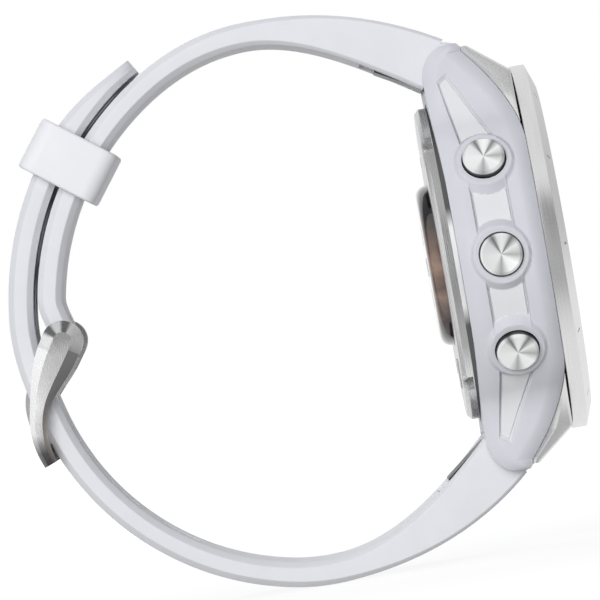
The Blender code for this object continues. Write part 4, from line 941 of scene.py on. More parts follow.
def make_case():
    """Case with its guards, horns, bosses and cavity."""
    case = loft("case_shell", [case_section(z) for z in case_heights()])
    front = -CASE_FRONT_Y
    ledge = front - LEDGE_DEPTH
    cutters = [
        turned("cavity", [
            (0.0, front + FAR), (LEDGE_RADIUS, front + FAR), (LEDGE_RADIUS, ledge), (CAVITY_RADIUS, ledge),
            (CAVITY_RADIUS, CAVITY_FLOOR), (BACK_OPENING_RADIUS, CAVITY_FLOOR), (BACK_OPENING_RADIUS, 0.0),
            (0.0, 0.0)], DIAL_FRAME, 96),
        disc("back_seat", COVER_RADIUS + COVER_FLARE + SEAT_ROOM, SEAT_FLOOR, -FAR, DIAL_FRAME, 128)]
    for side in (1.0, -1.0):
        outline = []
        for angle in between(180.0, 360.0, 33):
            outline.append((LUG_PIN_Y + SLOT_RADIUS * math.cos(math.radians(angle)),
                            side * (LUG_PIN_Z + SLOT_RADIUS * math.sin(math.radians(angle)))))
        far = side * (HORN_TIP_Z + FAR)
        outline += [(FAR, side * (LUG_PIN_Z - SLOT_FLARE * SLOT_RADIUS)), (FAR, far),
                    (LUG_PIN_Y - SLOT_RADIUS, far)]
        cutters.append(prism("strap_slot", outline, STRAP_HALF_WIDTH + GAP))
    for axis in button_axes().values():
        cutters.append(disc("pocket", BUTTON_RADIUS + POCKET_ROOM, CAP_TOP + FAR,
                            CAP_TOP - BUTTON_PROUD - POCKET_DEPTH, axis, 64))
    apply_boolean(case, cutters)
    place(case, "polymer", ["case_body"], "white_polymer", 38.0)
    add_finishes(case, "lit_panel_polymer")
    # Panel floors take the lit copy; the rest of the case keeps the darker copy as painted shade
    for face in case.data.polygons:
        face.material_index = int(in_panel(*face.center))


def button_axes():
    """Name and frame of each button's axis: Z runs outward along a radius of the case."""
    turns = {"button_light": math.pi - BUTTON_ANGLE, "button_up": math.pi,
             "button_down": math.pi + BUTTON_ANGLE, "button_start": BUTTON_ANGLE,
             "button_back": -BUTTON_ANGLE}
    return {name: axis_matrix((0.0, BUTTON_Y, 0.0), (math.cos(a), 0.0, math.sin(a)))
            for name, a in turns.items()}


def make_buttons():
    """Spun caps with a dished face and a rounded rim."""
    rim = BUTTON_RADIUS - BUTTON_EDGE
    for name, axis in button_axes().items():
        profile = [(0.0, -BUTTON_DISH)]
        profile += [(rim * t, -BUTTON_DISH * (1.0 - t * t)) for t in between(0.1, 1.0, 10)]
        profile += rounded([(rim, 0.0), (BUTTON_RADIUS, -BUTTON_EDGE), (BUTTON_RADIUS, -BUTTON_FOOT),
                            (BUTTON_RADIUS - BUTTON_FOOT_INSET, -BUTTON_FOOT)], BUTTON_ROUND, 4, False)[1:]
        profile.append((0.0, -BUTTON_FOOT))
        cap = turned(name + "_cap", profile, axis @ Matrix.Translation((0.0, 0.0, CAP_TOP)), 96)
        place(cap, "button_reflection_steel", [name], "brushed_steel", body=name)


def spun(degrees):
    """The dial's frame after part of a turn."""
    return DIAL_FRAME @ Matrix.Rotation(math.radians(degrees), 4, 'Z')


def make_bezel():
    """Turned bezel with a sloping face, plain hour marks, the lens and the dial below it."""
    lens_top = BEZEL_TOP - LENS_RECESS
    lens_foot = lens_top - LENS_THICKNESS
    seat = lens_foot - GAP
    bezel = turned("bezel", rounded([
        (BEZEL_LIP_RADIUS, BEZEL_TOP), (BEZEL_RADIUS, BEZEL_WALL_TOP), (BEZEL_RADIUS, BEZEL_FOOT),
        (LEDGE_RADIUS, BEZEL_FOOT), (LEDGE_RADIUS, seat), (BEZEL_BORE_RADIUS, seat),
        (BEZEL_BORE_RADIUS, BEZEL_TOP)], BEZEL_EDGE), DIAL_FRAME, 256, True)
    slope = math.atan2(BEZEL_TOP - BEZEL_WALL_TOP, BEZEL_RADIUS - BEZEL_LIP_RADIUS)
    on_slope = Matrix.Translation(((BEZEL_LIP_RADIUS + BEZEL_RADIUS) / 2, 0.0,
                                   (BEZEL_TOP + BEZEL_WALL_TOP) / 2)) @ Matrix.Rotation(slope, 4, 'Y')
    marks = []
    for i in range(12):
        length, width = HOUR_MARKS[i % 3 == 0]
        marks.append(block("mark", (-length / 2, -width / 2, -MARK_DEPTH), (length / 2, width / 2, FAR / 4),
                           spun(30.0 * i) @ on_slope))
    apply_boolean(bezel, marks)
    place(bezel, "ring_steel", ["bezel_ring"], "brushed_steel")
    radius = BEZEL_BORE_RADIUS - GAP
    lens = turned("lens_glass", rounded([
        (0.0, lens_top), (radius - LENS_EDGE, lens_top), (radius, lens_top - LENS_EDGE),
        (radius, lens_foot), (0.0, lens_foot)], SMALL_EDGE, 3, False), DIAL_FRAME, 192)
    place(lens, "lens_glass", ["lens"], "clear_lens")
    make_dial(seat)


def make_dial(seat):
    """Display with a plain dial: minute ticks, numbers and a small green with a bunker."""
    top = seat - DISPLAY_DROP
    foot = seat - DISPLAY_DEPTH
    module = turned("dial_module", rounded([(0.0, top), (DISPLAY_RADIUS, top), (DISPLAY_RADIUS, foot),
                                            (0.0, foot)], SMALL_EDGE, 2, False), DIAL_FRAME)
    place(module, "display", ["display_module"], "display_black", 30.0)
    low = seat - INK_FOOT
    high = seat - INK_TOP
    rim = DISPLAY_RADIUS - TICK_INSET
    ink = []
    for i in range(60):
        length, width = DIAL_TICKS[i % 5 == 0]
        ink.append(block("tick", (rim - length, -width, low), (rim, width, high), spun(6.0 * i)))
    for words, size, x, z in DIAL_NUMBERS:
        ink.append(dial_text(words, size * MM, (x * MM, z * MM), low, high))
    place(join_meshes("dial_marks", ink), "dial_ink", [], "clear_lens", 30.0)
    for name, finish, radius, x, y, stretch, steps in DIAL_SPOTS:
        spot = Matrix.Translation((x * MM, y * MM, 0.0)) @ Matrix.Diagonal((*stretch, 1, 1))
        shape = disc(name, radius * MM, high, low, DIAL_FRAME @ spot, steps)
        place(shape, finish, [], "clear_lens", 30.0)


def dial_text(words, size, spot, low, high):
    """Raised numbers on the dial, readable from the front."""
    curve = bpy.data.curves.new("numbers", 'FONT')
    curve.body = words
    curve.size = size
    curve.align_x = 'CENTER'
    curve.extrude = (high - low) / 2
    text = new_object("numbers", curve)
    mesh = plain_mesh(text)
    bpy.data.objects.remove(text, do_unlink=True)
    return new_object("numbers", mesh, Matrix((
        (1.0, 0.0, 0.0, spot[0]), (0.0, 0.0, -1.0, -(low + high) / 2), (0.0, 1.0, 0.0, spot[1]),
        (0.0, 0.0, 0.0, 1.0))))


def join_meshes(name, items):
    """One object out of several."""
    bm = bmesh.new()
    bpy.context.view_layer.update()
    for item in items:
        item.data.transform(item.matrix_world)
        bm.from_mesh(item.data)
        bpy.data.objects.remove(item, do_unlink=True)
    mesh = bpy.data.meshes.new(name)
    bm.to_mesh(mesh)
    bm.free()
    return new_object(name, mesh)


def make_lug_covers():
    """Metal wedges between the bezel and the horns' sloping fronts, with a bright bevel beside the guard."""
    tip = slope_front(PLATE_END) - PLATE_GAP - PLATE_TIP
    room = STRAP_HALF_WIDTH + GAP
    for side, word in ((1.0, "upper"), (-1.0, "lower")):
        rings = []
        for z in between(PLATE_START, PLATE_KNEE, 40) + between(PLATE_KNEE, PLATE_END, 20)[1:]:
            share = max(z - PLATE_KNEE, 0.0) / (PLATE_END - PLATE_KNEE)
            front = PLATE_FRONT_Y + (tip - PLATE_FRONT_Y) * share
            back = slope_front(z) - PLATE_GAP
            half = case_half_width(z) - PLATE_INSET
            fore = min(PLATE_EDGE, PLATE_EDGE_SHARE * (back - front))
            aft = min(PLATE_BACK_EDGE, PLATE_EDGE_SHARE * (back - front))
            inset = PLATE_BACK_INSET * aft / PLATE_BACK_EDGE
            corners = [(half, back - aft), (half - inset, back), (inset - half, back), (-half, back - aft),
                       (-half, front + fore), (fore - half, front), (half - fore, front),
                       (half, front + fore)]
            rings.append([(x, y, side * z) for x, y in rounded(corners, FINE_EDGE)])
        plate = loft("lug_plate_" + word, rings)
        low, high = sorted((side * LUG_PIN_Z, side * (HORN_TIP_Z + FAR)))
        apply_boolean(plate, [block("room", (-room, 2 * CASE_FRONT_Y, low), (room, 0.0, high))])
        eased(plate, FINE_EDGE, 50.0)
        place(plate, word + "_plate", ["lug_cover_" + word], "brushed_steel", 30.0)


def make_back():
    """Rear cover with screws, charging port and the sensor's glass dome."""
    cover = turned("back_plate", rounded([
        (COVER_RADIUS + COVER_FLARE, COVER_FRONT), (COVER_RADIUS, COVER_BACK + COVER_WALL),
        (COVER_RADIUS, COVER_BACK + COVER_EDGE), (COVER_RADIUS - COVER_EDGE, COVER_BACK),
        (WINDOW_SEAT_RADIUS, COVER_BACK), (WINDOW_SEAT_RADIUS, COVER_FRONT)], FINE_EDGE),
        DIAL_FRAME, 192, True)
    recess = COVER_BACK + SCREW_HEAD_HEIGHT
    top = COVER_BACK + SCREW_SINK
    foot = recess - LEAST_STEP
    end = COVER_FRONT + SCREW_REACH
    across = SCREW_HEAD_RADIUS + SMALL_ROOM
    x = SCREW_CIRCLE * math.cos(SCREW_ANGLE)
    z = SCREW_CIRCLE * math.sin(SCREW_ANGLE)
    cutters = []
    for index, (x, z) in enumerate(((-x, z), (x, z), (x, -z), (-x, -z))):
        spot = Matrix.Translation((x, 0.0, z)) @ DIAL_FRAME
        cutters.append(disc("hole", SCREW_HEAD_RADIUS + SCREW_ROOM, recess, 0.0, spot))
        cutters.append(block("notch", (SCREW_CIRCLE, -COVER_BACK - NOTCH_DEPTH, -across),
                             (COVER_RADIUS + FAR, FAR, across), Matrix.Rotation(-math.atan2(z, x), 4, 'Y')))
        head = turned("screw_head_%d" % (index + 1), rounded([
            (0.0, end), (SCREW_RADIUS, end), (SCREW_RADIUS, foot), (SCREW_HEAD_RADIUS, foot),
            (SCREW_HEAD_RADIUS, top), (0.0, top)], SCREW_EDGE, 3, False), spot, 48)
        apply_boolean(head, [disc("socket", SOCKET_RADIUS, top + SOCKET_DEPTH, 0.0, spot, 6)])
        place(head, "ring_steel", ["rear_screw_%d" % (index + 1)], "brushed_steel")
    half = PORT_WIDTH / 2 + SMALL_ROOM
    tall = PORT_HEIGHT / 2 + SMALL_ROOM
    cutters.append(block("window", (-half, -FAR, PORT_Z - tall), (half, FAR, PORT_Z + tall)))
    apply_boolean(cover, cutters)
    eased(cover, COVER_FILLET, 40.0)
    place(cover, "cover_steel", ["rear_cover"], "brushed_steel")
    add_finishes(cover, "wall_reflection_steel", "seam_shadow_steel")
    # Painted reflection on the wall, painted shadow on the flared seam at its foot
    for face in cover.data.polygons:
        if abs(face.normal.z) < WALL_FACING and face.center.xy.length > COVER_RADIUS - WALL_BAND:
            face.material_index = 2 if face.center.z > COVER_BACK + COVER_WALL else 1
    make_port()
    make_sensor()


def make_port():
    """Charging port with a pin in each well."""
    half = PORT_WIDTH / 2
    back = -COVER_BACK - PORT_SINK
    port = block("port_body", (-half, -COVER_FRONT, PORT_Z - PORT_HEIGHT / 2),
                 (half, back, PORT_Z + PORT_HEIGHT / 2), None, SOFT_EDGE)
    wells = []
    for index in range(PIN_COUNT):
        x = (index - (PIN_COUNT - 1) / 2) * PIN_PITCH
        wells.append(bar("well", PIN_RADIUS + PIN_ROOM, (x, back - WELL_DEPTH, PORT_Z),
                         (x, FAR, PORT_Z), 32))
        pin = bar("port_pin_%d" % (index + 1), PIN_RADIUS, (x, -COVER_FRONT, PORT_Z),
                  (x, back + PIN_PROUD, PORT_Z), 32, SOFT_EDGE)
        place(pin, "gold", ["charge_pin_%d" % (index + 1)], "gold_contact")
    apply_boolean(port, wells)
    place(port, "rubber", ["charge_port"], "black_rubber", 30.0)


def make_sensor():
    """Dark glass dome with a round shoulder, and lamp windows under its flat middle."""
    rise = COVER_BACK - LEAST_STEP
    foot = COVER_FRONT + WINDOW_FOOT
    profile = [(0.0, foot), (WINDOW_SEAT_RADIUS - GAP, foot), (WINDOW_SEAT_RADIUS - GAP, rise),
               (WINDOW_RIM_RADIUS, rise)]
    for i in range(1, 25):
        angle = math.radians(90.0 * i / 24)
        shoulder = (WINDOW_RIM_RADIUS - WINDOW_FLAT_RADIUS) * math.cos(angle) ** SHOULDER_POWER
        profile.append((WINDOW_FLAT_RADIUS + shoulder, rise * (1.0 - math.sin(angle))))
    profile.append((0.0, 0.0))
    dome = turned("sensor_dome", profile, DIAL_FRAME, 160)
    place(dome, "dark_glass", ["sensor_window"], "dark_glass", 30.0)
    lamps = []
    for x, z in ((0.0, 0.0), (-LAMP_PITCH, 0.0), (LAMP_PITCH, 0.0), (0.0, LAMP_PITCH), (0.0, -LAMP_PITCH)):
        spot = Matrix.Translation((x, 0.0, z)) @ DIAL_FRAME
        lamps.append(disc("lamp", LAMP_RADIUS, LAMP_FOOT, LAMP_TOP, spot))
    place(join_meshes("sensor_lamps", lamps), "sensor_lamp", [], "display_black", 30.0)


# Straps

def lug_run(pin, angle, pull, begin, handle, thickness, swell, count):
    """Middle line and thickness from a lug pin to the start of an arc."""
    lug_handle = pin + heading(angle) * pull
    start, span = swell
    run = []
    for i in range(count):
        t = 1.0 - i / count
        grow = (2.0 * STRAP_END_RADIUS - thickness) * ease((t - start) / span)
        run.append((bezier(begin, handle, lug_handle, pin, t), thickness + grow))
    return run


def upper_path():
    """Lug pin, arc and buckle bar."""
    begin = polar(UPPER_CENTRE, UPPER_ARC_END, UPPER_RADIUS)
    path = lug_run(LUG_PINS["upper"], UPPER_LUG_ANGLE, UPPER_LUG_PULL, begin,
                   begin + tangent(UPPER_ARC_END) * UPPER_ARC_PULL, UPPER_THICKNESS, UPPER_SWELL, 64)
    for angle in between(UPPER_ARC_END, UPPER_ARC_START, 80):
        path.append((polar(UPPER_CENTRE, angle, UPPER_RADIUS), UPPER_THICKNESS))
    start = polar(UPPER_CENTRE, UPPER_ARC_START, UPPER_RADIUS)
    lean = tangent(UPPER_ARC_START) * BAR_PULL
    for i in range(1, 13):
        path.append((bezier(start, start - lean, BAR + lean, BAR, i / 12), UPPER_THICKNESS))
    return path


def tail_thickness(angle):
    share = ease((angle - TAIL_THIN_ANGLE) / (TAIL_TIP_ANGLE - TAIL_THIN_ANGLE))
    return TAIL_THICKNESS + (TAIL_TIP_THICKNESS - TAIL_THICKNESS) * share


def tail_point(angle):
    return polar(UPPER_CENTRE, angle, TAIL_INNER + tail_thickness(angle) / 2)


def crossing_point(t):
    """Where the lower strap passes through the buckle to become the tail."""
    start = polar(LOWER_CENTRE, LOWER_ARC_END, LOWER_RADIUS)
    end = tail_point(TAIL_START)
    pull = (end - start).length / 3
    return bezier(start, start + tangent(LOWER_ARC_END) * pull, end - tangent(TAIL_START) * pull, end, t)


def lower_path():
    """Lug pin, arc, crossing and tail, with closer steps at its nose."""
    begin = polar(LOWER_CENTRE, LOWER_ARC_START, LOWER_RADIUS)
    path = lug_run(LUG_PINS["lower"], LOWER_LUG_ANGLE, LOWER_LUG_PULL, begin,
                   begin - tangent(LOWER_ARC_START) * LOWER_ARC_PULL, LOWER_THICKNESS, LOWER_SWELL, 56)
    for angle in between(LOWER_ARC_START, LOWER_ARC_END, 130):
        path.append((polar(LOWER_CENTRE, angle, LOWER_RADIUS), LOWER_THICKNESS))
    for i in range(1, 20):
        t = i / 20
        path.append((crossing_point(t), LOWER_THICKNESS + (TAIL_THICKNESS - LOWER_THICKNESS) * t))
    nose = TAIL_TIP_ANGLE - TAIL_NOSE
    tips = [nose + TAIL_NOSE * math.sin(math.pi / 2 * k / 24) for k in range(1, 25)]
    for angle in between(TAIL_START, nose, 80) + tips:
        path.append((tail_point(angle), tail_thickness(angle)))
    return path


def with_normals(path):
    """Points, directions square to a line and depths along it."""
    result = []
    for i, (point, depth) in enumerate(path):
        along = (path[min(i + 1, len(path) - 1)][0] - path[max(i - 1, 0)][0]).normalized()
        result.append((point, Vector((-along.y, along.x)), depth))
    return result


def ring_at(point, out, corners, fillet, steps):
    """A section across a line, from corners of (x, offset)."""
    return [(x, point.x + out.x * offset, point.y + out.y * offset)
            for x, offset in rounded(corners, fillet, steps)]


def strap_rings(path, outward, nose=0.0):
    """Chamfered and rounded sections square to a middle line that starts at a lug, drawn in at its nose."""
    rings = []
    walked = 0.0
    whole = sum((second[0] - first[0]).length for first, second in zip(path, path[1:]))
    last = path[0][0]
    for point, normal, thickness in with_normals(path):
        walked += (point - last).length
        last = point
        share = ease((walked - WAIST_START) / WAIST_SPAN)
        half = STRAP_HALF_WIDTH + (STRAP_WAIST - STRAP_HALF_WIDTH) * share
        left = max(whole - walked, 0.0)
        if left < nose:
            half -= TAIL_NOSE_INSET * (1.0 - math.sqrt(1.0 - (1.0 - left / nose) ** 2))
        edge = min(LUG_EDGE + (STRAP_EDGE - LUG_EDGE) * share, STRAP_EDGE_SHARE * thickness)
        depth = thickness / 2
        flat = half - STRAP_EDGE_SLANT * edge
        corners = [(half, depth - edge), (flat, depth), (-flat, depth), (-half, depth - edge),
                   (-half, edge - depth), (-flat, -depth), (flat, -depth), (half, edge - depth)]
        rings.append(ring_at(point, normal * -outward, corners, STRAP_FILLET, 5))
    return rings


def clear_of(path, centre, radius):
    """The part of a middle line that lies outside a bore."""
    return [entry for entry in path if (entry[0] - centre).length > radius + 2 * LEAST_STEP]


def finish_lug_end(strap, word):
    """Round sleeve over the lug pin, and the pin."""
    pin = LUG_PINS[word]
    half = STRAP_HALF_WIDTH - LEAST_STEP
    apply_boolean(strap, [tube("end", LUG_BORE, STRAP_END_RADIUS, half, pin, LUG_EDGE)], 'UNION', True)
    rod = cross_rod("lug_rod_" + word, LUG_PIN_RADIUS, STRAP_HALF_WIDTH + LUG_PIN_REACH, pin, 48, SOFT_EDGE)
    place(rod, "ring_steel", ["lug_pin_" + word], "brushed_steel")


def latch_frame(path, side):
    """Frame on the strap's inner face at the latch: X runs along the strap and Z out of the face."""
    walked = 0.0
    for (first, thickness), (second, _) in zip(path, path[1:]):
        step = (second - first).length
        if walked + step >= LATCH_REACH:
            break
        walked += step
    along = (second - first).normalized()
    inward = Vector((along.y, -along.x)) * side
    face = first + along * (LATCH_REACH - walked) + inward * (thickness / 2)
    x_axis = Vector((0.0, along.x, along.y))
    z_axis = Vector((0.0, inward.x, inward.y))
    matrix = Matrix((x_axis, z_axis.cross(x_axis), z_axis)).transposed().to_4x4()
    matrix.translation = (0.0, face.x, face.y)
    return matrix


def make_latch(strap, word, spot):
    """Flat slide with a finger dish, in a pocket that leaves room for its travel."""
    half = LATCH_WIDTH / 2
    low = -LATCH_LENGTH / 2
    high = LATCH_LENGTH / 2
    foot = LATCH_PROUD - LATCH_THICKNESS
    apply_boolean(strap, [block("pocket", (low - GAP, -half - GAP, foot - LATCH_ROOM),
                                (high + GAP + LATCH_TRAVEL, half + GAP, FAR), spot, SMALL_EDGE)])
    latch = block("latch_slide_" + word, (low, -half, foot), (high, half, LATCH_PROUD), spot, LATCH_EDGE)
    apply_boolean(latch, [turned("dish", [
        (0.0, LATCH_PROUD - LATCH_DISH_DEPTH), (LATCH_DISH_RADIUS, LATCH_PROUD), (LATCH_DISH_RADIUS, FAR),
        (0.0, FAR)], spot, 48)])
    place(latch, "dark_steel", ["latch_" + word], "dark_steel", 30.0, "latch_" + word)


def make_upper_strap():
    """Short strap with an eye round the buckle's bar and a notch for the tang."""
    path = upper_path()
    middle = clear_of(clear_of(path, LUG_PINS["upper"], LUG_BORE), BAR, BAR_BORE)
    strap = loft("band_upper", strap_rings(middle, -1.0))
    eye = tube("eye", BAR_BORE, BAR_EYE_RADIUS, STRAP_WAIST - LEAST_STEP, BAR, SOFT_EDGE)
    apply_boolean(strap, [eye], 'UNION', True)
    notch = TANG_WIDTH / 2 + TANG_NOTCH_ROOM
    below = BAR_EYE_RADIUS + FAR
    far_corner = (notch, BAR.x + EYE_NOTCH_OUT, BAR.y + TANG_EYE_RADIUS + EYE_NOTCH_UP)
    near_corner = (-notch, BAR.x - below, BAR.y - below)
    apply_boolean(strap, [block("notch", near_corner, far_corner, None, EYE_NOTCH_EDGE)])
    finish_lug_end(strap, "upper")
    make_latch(strap, "upper", latch_frame(path, 1.0))
    place(strap, "silicone", ["strap_upper"], "white_silicone", 32.0)


def hole_cutter(centre, along):
    """Oblong hole through the strap, wider at both faces."""
    out = Vector((along.y, -along.x))
    straight = (HOLE_LENGTH - HOLE_WIDTH) / 2
    rings = []
    for depth, grow in HOLE_SECTIONS:
        ring = []
        radius = HOLE_WIDTH / 2 + grow * MM
        for end in (1.0, -1.0):
            for angle in between(-90.0, 90.0, 17):
                angle = math.radians(angle)
                reach = end * (straight + radius * math.cos(angle))
                spot = centre + along * reach + out * (depth * TAIL_THICKNESS)
                ring.append((end * radius * math.sin(angle), spot.x, spot.y))
        rings.append(ring)
    return loft("hole", rings)


def make_lower_strap():
    """Long strap with its tail and adjusting holes."""
    path = lower_path()
    middle = clear_of(path, LUG_PINS["lower"], LUG_BORE)
    strap = loft("band_lower", strap_rings(middle, 1.0, TAIL_NOSE * TAIL_INNER))
    finish_lug_end(strap, "lower")
    make_latch(strap, "lower", latch_frame(path, -1.0))
    centre = crossing_point(TANG_HOLE_SHARE)
    along = (crossing_point(TANG_HOLE_SHARE + 0.1) - crossing_point(TANG_HOLE_SHARE - 0.1)).normalized()
    holes = [hole_cutter(centre, along)]
    tail_middle = TAIL_INNER + TAIL_THICKNESS / 2
    first = math.asin((centre.y - UPPER_CENTRE.y) / tail_middle)
    for i in range(1, HOLES_ABOVE + 1):
        angle = first + i * HOLE_PITCH / tail_middle
        holes.append(hole_cutter(tail_point(angle), tangent(angle)))
    first = math.asin((centre.y - LOWER_CENTRE.y) / LOWER_RADIUS)
    for i in range(1, HOLES_BELOW + 1):
        angle = first - i * HOLE_PITCH / LOWER_RADIUS
        holes.append(hole_cutter(polar(LOWER_CENTRE, angle, LOWER_RADIUS), tangent(angle)))
    apply_boolean(strap, holes)
    place(strap, "silicone", ["strap_lower"], "white_silicone", 32.0)


def make_keeper():
    """Flat loop round both straps: a rounded wall section swept round a rounded outline."""
    inner = UPPER_RADIUS - UPPER_THICKNESS / 2 - KEEPER_CLEARANCE
    outer = TAIL_INNER + TAIL_THICKNESS + KEEPER_CLEARANCE
    half_x = STRAP_WAIST + KEEPER_CLEARANCE
    half_r = (outer - inner) / 2
    middle = polar(UPPER_CENTRE, KEEPER_ANGLE, (inner + outer) / 2)
    length = KEEPER_LENGTH / 2
    section = rounded([(0.0, -length), (KEEPER_WALL, -length), (KEEPER_WALL, length), (0.0, length)],
                      KEEPER_EDGE, 4)
    corner = KEEPER_CORNER - KEEPER_WALL + SMALL_ROOM
    rings = []
    for sx, sr, start in ((1, 1, 0), (-1, 1, 90), (-1, -1, 180), (1, -1, 270)):
        for i in range(13):
            angle = math.radians(start + 90.0 * i / 12)
            ring = []
            for wall, step in section:
                x = sx * (half_x - corner) + (corner + wall) * math.cos(angle)
                r = sr * (half_r - corner) + (corner + wall) * math.sin(angle)
                spot = middle + heading(KEEPER_ANGLE) * r + tangent(KEEPER_ANGLE) * step
                ring.append((x, spot.x, spot.y))
            rings.append(ring)
    keeper = loft("keeper_loop", rings, None, True)
    place(keeper, "loop_silicone", ["keeper"], "white_silicone", 32.0, "keeper")


# Buckle

def arm_path():
    """Middle line and depth of the buckle's arms."""
    path = []
    for t in between(0.0, 1.0, 80):
        point = BAR + bezier(Vector((0.0, 0.0)), ARM_BEND_1, ARM_BEND_2, ARM_END, t)
        shoulder = 1.0 - ease((t - SHOULDER_START) / SHOULDER_SPAN)
        path.append((point, ARM_END_DEPTH + ARM_TAPER * (1.0 - t) + ARM_SHOULDER * shoulder))
    return path


def band_outline(path):
    outer = [tuple(point + out * depth / 2) for point, out, depth in with_normals(path)]
    inner = [tuple(point - out * depth / 2) for point, out, depth in with_normals(path)]
    return outer + inner[::-1]


def make_arm(name, side, path):
    """One arm with its two outer edges cut to facets."""
    rings = []
    for point, out, depth in with_normals(path):
        half = depth / 2
        facet = ARM_FACET_SHARE * depth
        corners = [(ARM_INNER_X, -half), (ARM_OUTER_X - ARM_CHAMFER, -half), (ARM_OUTER_X, facet - half),
                   (ARM_OUTER_X, half - facet), (ARM_OUTER_X - ARM_CHAMFER, half), (ARM_INNER_X, half)]
        rings.append([(side * x, y, z) for x, y, z in ring_at(point, out, corners, FINE_EDGE, 2)])
    return loft(name, rings)


def make_buckle():
    """Two arms and a cross bar in one piece, with a groove for the tang, and the spring bar."""
    path = arm_path()
    buckle = make_arm("buckle", -1.0, path)
    rung = [(point, depth - 2 * LEAST_STEP) for point, depth in path[-13:-1]]
    additions = [prism("cross_bar", rounded(band_outline(rung), SOFT_EDGE), ARM_INNER_X + RUNG_OVERLAP),
                 make_arm("buckle_arm", 1.0, path)]
    face = ARM_OUTER_X + LEAST_STEP
    inner = ARM_INNER_X - LEAST_STEP
    for side in (-1.0, 1.0):
        axis = axis_matrix((0.0, BAR.x, BAR.y), (side, 0.0, 0.0))
        additions.append(turned("knuckle", [
            (0.0, face), (KNUCKLE_RADIUS - KNUCKLE_FACET, face), (KNUCKLE_RADIUS, face - ARM_CHAMFER),
            (KNUCKLE_RADIUS, inner), (0.0, inner)], axis, 72))
    apply_boolean(buckle, additions, 'UNION', True)
    line = [(BAR + bezier(TANG_START, TANG_BEND_1, TANG_BEND_2, TANG_TIP, i / 40), TANG_THICKNESS)
            for i in range(41)]
    groove = [(point, depth + GAP) for point, depth in line[20:]]
    last = (groove[-1][0] - groove[-2][0]).normalized()
    groove.append((groove[-1][0] + last * FAR / 2, groove[-1][1]))
    apply_boolean(buckle, [prism("groove", band_outline(groove), TANG_WIDTH / 2 + TANG_GROOVE_ROOM)])
    place(buckle, "buckle_shaded_steel", ["buckle_frame"], "brushed_steel", body="buckle")
    add_finishes(buckle, "inner_shaded_steel", "edge_highlight_steel", "knuckle_reflection_steel")
    # Facets take the copies by the way they face: painted shade and reflection on the inner faces, painted
    # reflections round the knuckle, painted highlight on the outer chamfers
    for face in buckle.data.polygons:
        low = face.center.z < BAR.y - KNUCKLE_FOOT * KNUCKLE_RADIUS
        inward = face.normal.dot(TOWARDS_WRIST)
        slanted = LEAST_SLANT < abs(face.normal.x) < MOST_SLANT
        near = math.hypot(face.center.y - BAR.x, face.center.z - BAR.y) < KNUCKLE_RADIUS + LEAST_STEP
        if low and inward > INNER_FACING:
            face.material_index = 1
        elif slanted and near and not low:
            face.material_index = 3
        elif slanted and inward < -INNER_FACING:
            face.material_index = 2
    rod = cross_rod("buckle_rod", BAR_RADIUS, ARM_OUTER_X - BAR_END_INSET, BAR, 32, SMALL_EDGE)
    place(rod, "ring_steel", ["spring_bar"], "brushed_steel")
    make_tang(line)


def make_tang(line):
    """Flat tongue with an eye round the spring bar."""
    half = TANG_WIDTH / 2
    tang = prism("tongue", band_outline(line), half)
    apply_boolean(tang, [cross_rod("eye", TANG_EYE_RADIUS, half, BAR, 64)], 'UNION')
    apply_boolean(tang, [cross_rod("bore", BAR_BORE, FAR, BAR, 32)])
    eased(tang, TANG_EDGE, 40.0)
    place(tang, "tang_steel", ["tang"], "brushed_steel", body="tang")


def dress_inside():
    """Finishes of the inside pieces, which keep their modelled shape."""
    inside = {"lens_gasket": "rubber", "inner_frame": "grey_plastic", "main_board": "board",
              "battery": "foil", "vibration_motor": "foil", "rear_gasket": "rubber", "sensor_board": "board"}
    for name in button_axes():
        inside[name + "_seal"] = "rubber"
        inside[name + "_switch"] = "grey_plastic"
    for name, material in inside.items():
        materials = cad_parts[name].data.materials
        for index in range(len(materials)):
            materials[index] = MATERIALS[material]
        if not materials:
            materials.append(MATERIALS[material])


# Stage

FLOOR_SIZE = 3.0
FLOOR_COLOUR = (0.12, 0.12, 0.12, 1.0)
FLOOR_NEAR = 0.04
FLOOR_FAR = 0.22
FLOOR_NEAR_TONE = 0.9
FLOOR_LIGHT = 0.25
GLINT_NEAR = -0.03
GLINT_FAR = -0.085
GLINT_NEAR_TONE = 0.9
GLINT_FAR_TONE = 0.42
CAMERA_DISTANCE = 0.9
CAMERA_TILT = math.radians(10.0)
CAMERA_REACH = 10.0
PICTURE_WIDTH = 68.7 * MM
SENSOR = 36.0
AIM = (0.01504, -0.00113)
WATCH_MIDDLE = (0.0, 0.015, 0.0)
FILL_COLOUR = (0.92, 0.94, 1.0, 1.0)
FILL_ABOVE = 0.32
FILL_BELOW = 0.16
LAMP_SIZE = 0.8
LAMPS = (("key", (-1.08, 0.3, 0.2), 13.2), ("back", (0.9, 0.3, 0.6), 6.0), ("front", (0.1, -1.0, 0.4), 0.5))

# Brightness of the studio in reflections: round the camera clockwise from the top, and by how far
# a direction runs towards the camera
ROUND = ((0.0, 0.9), (0.12, 0.5), (0.25, 0.28), (0.38, 0.45), (0.5, 0.6), (0.62, 0.9), (0.75, 0.95),
         (1.0, 0.9))
UPRIGHT = ((0.0, 1.0), (0.08, 1.0), (0.17, 0.0), (0.33, 0.0), (0.42, 1.0), (0.58, 1.0), (0.67, 0.0),
           (0.83, 0.0), (0.92, 1.0), (1.0, 1.0))
UPPER_HALF = ((0.0, 1.0), (0.24, 1.0), (0.26, 0.0), (0.74, 0.0), (0.76, 1.0), (1.0, 1.0))
ABOVE = ((0.0, 0.9), (0.5, 0.9), (0.74, 1.0), (0.82, 0.85), (0.88, 0.3), (0.93, 0.32), (0.97, 0.4),
         (1.0, 0.4))
BELOW = ((0.0, 0.9), (0.48, 0.9), (0.82, 0.55), (0.95, 0.36), (1.0, 0.4))
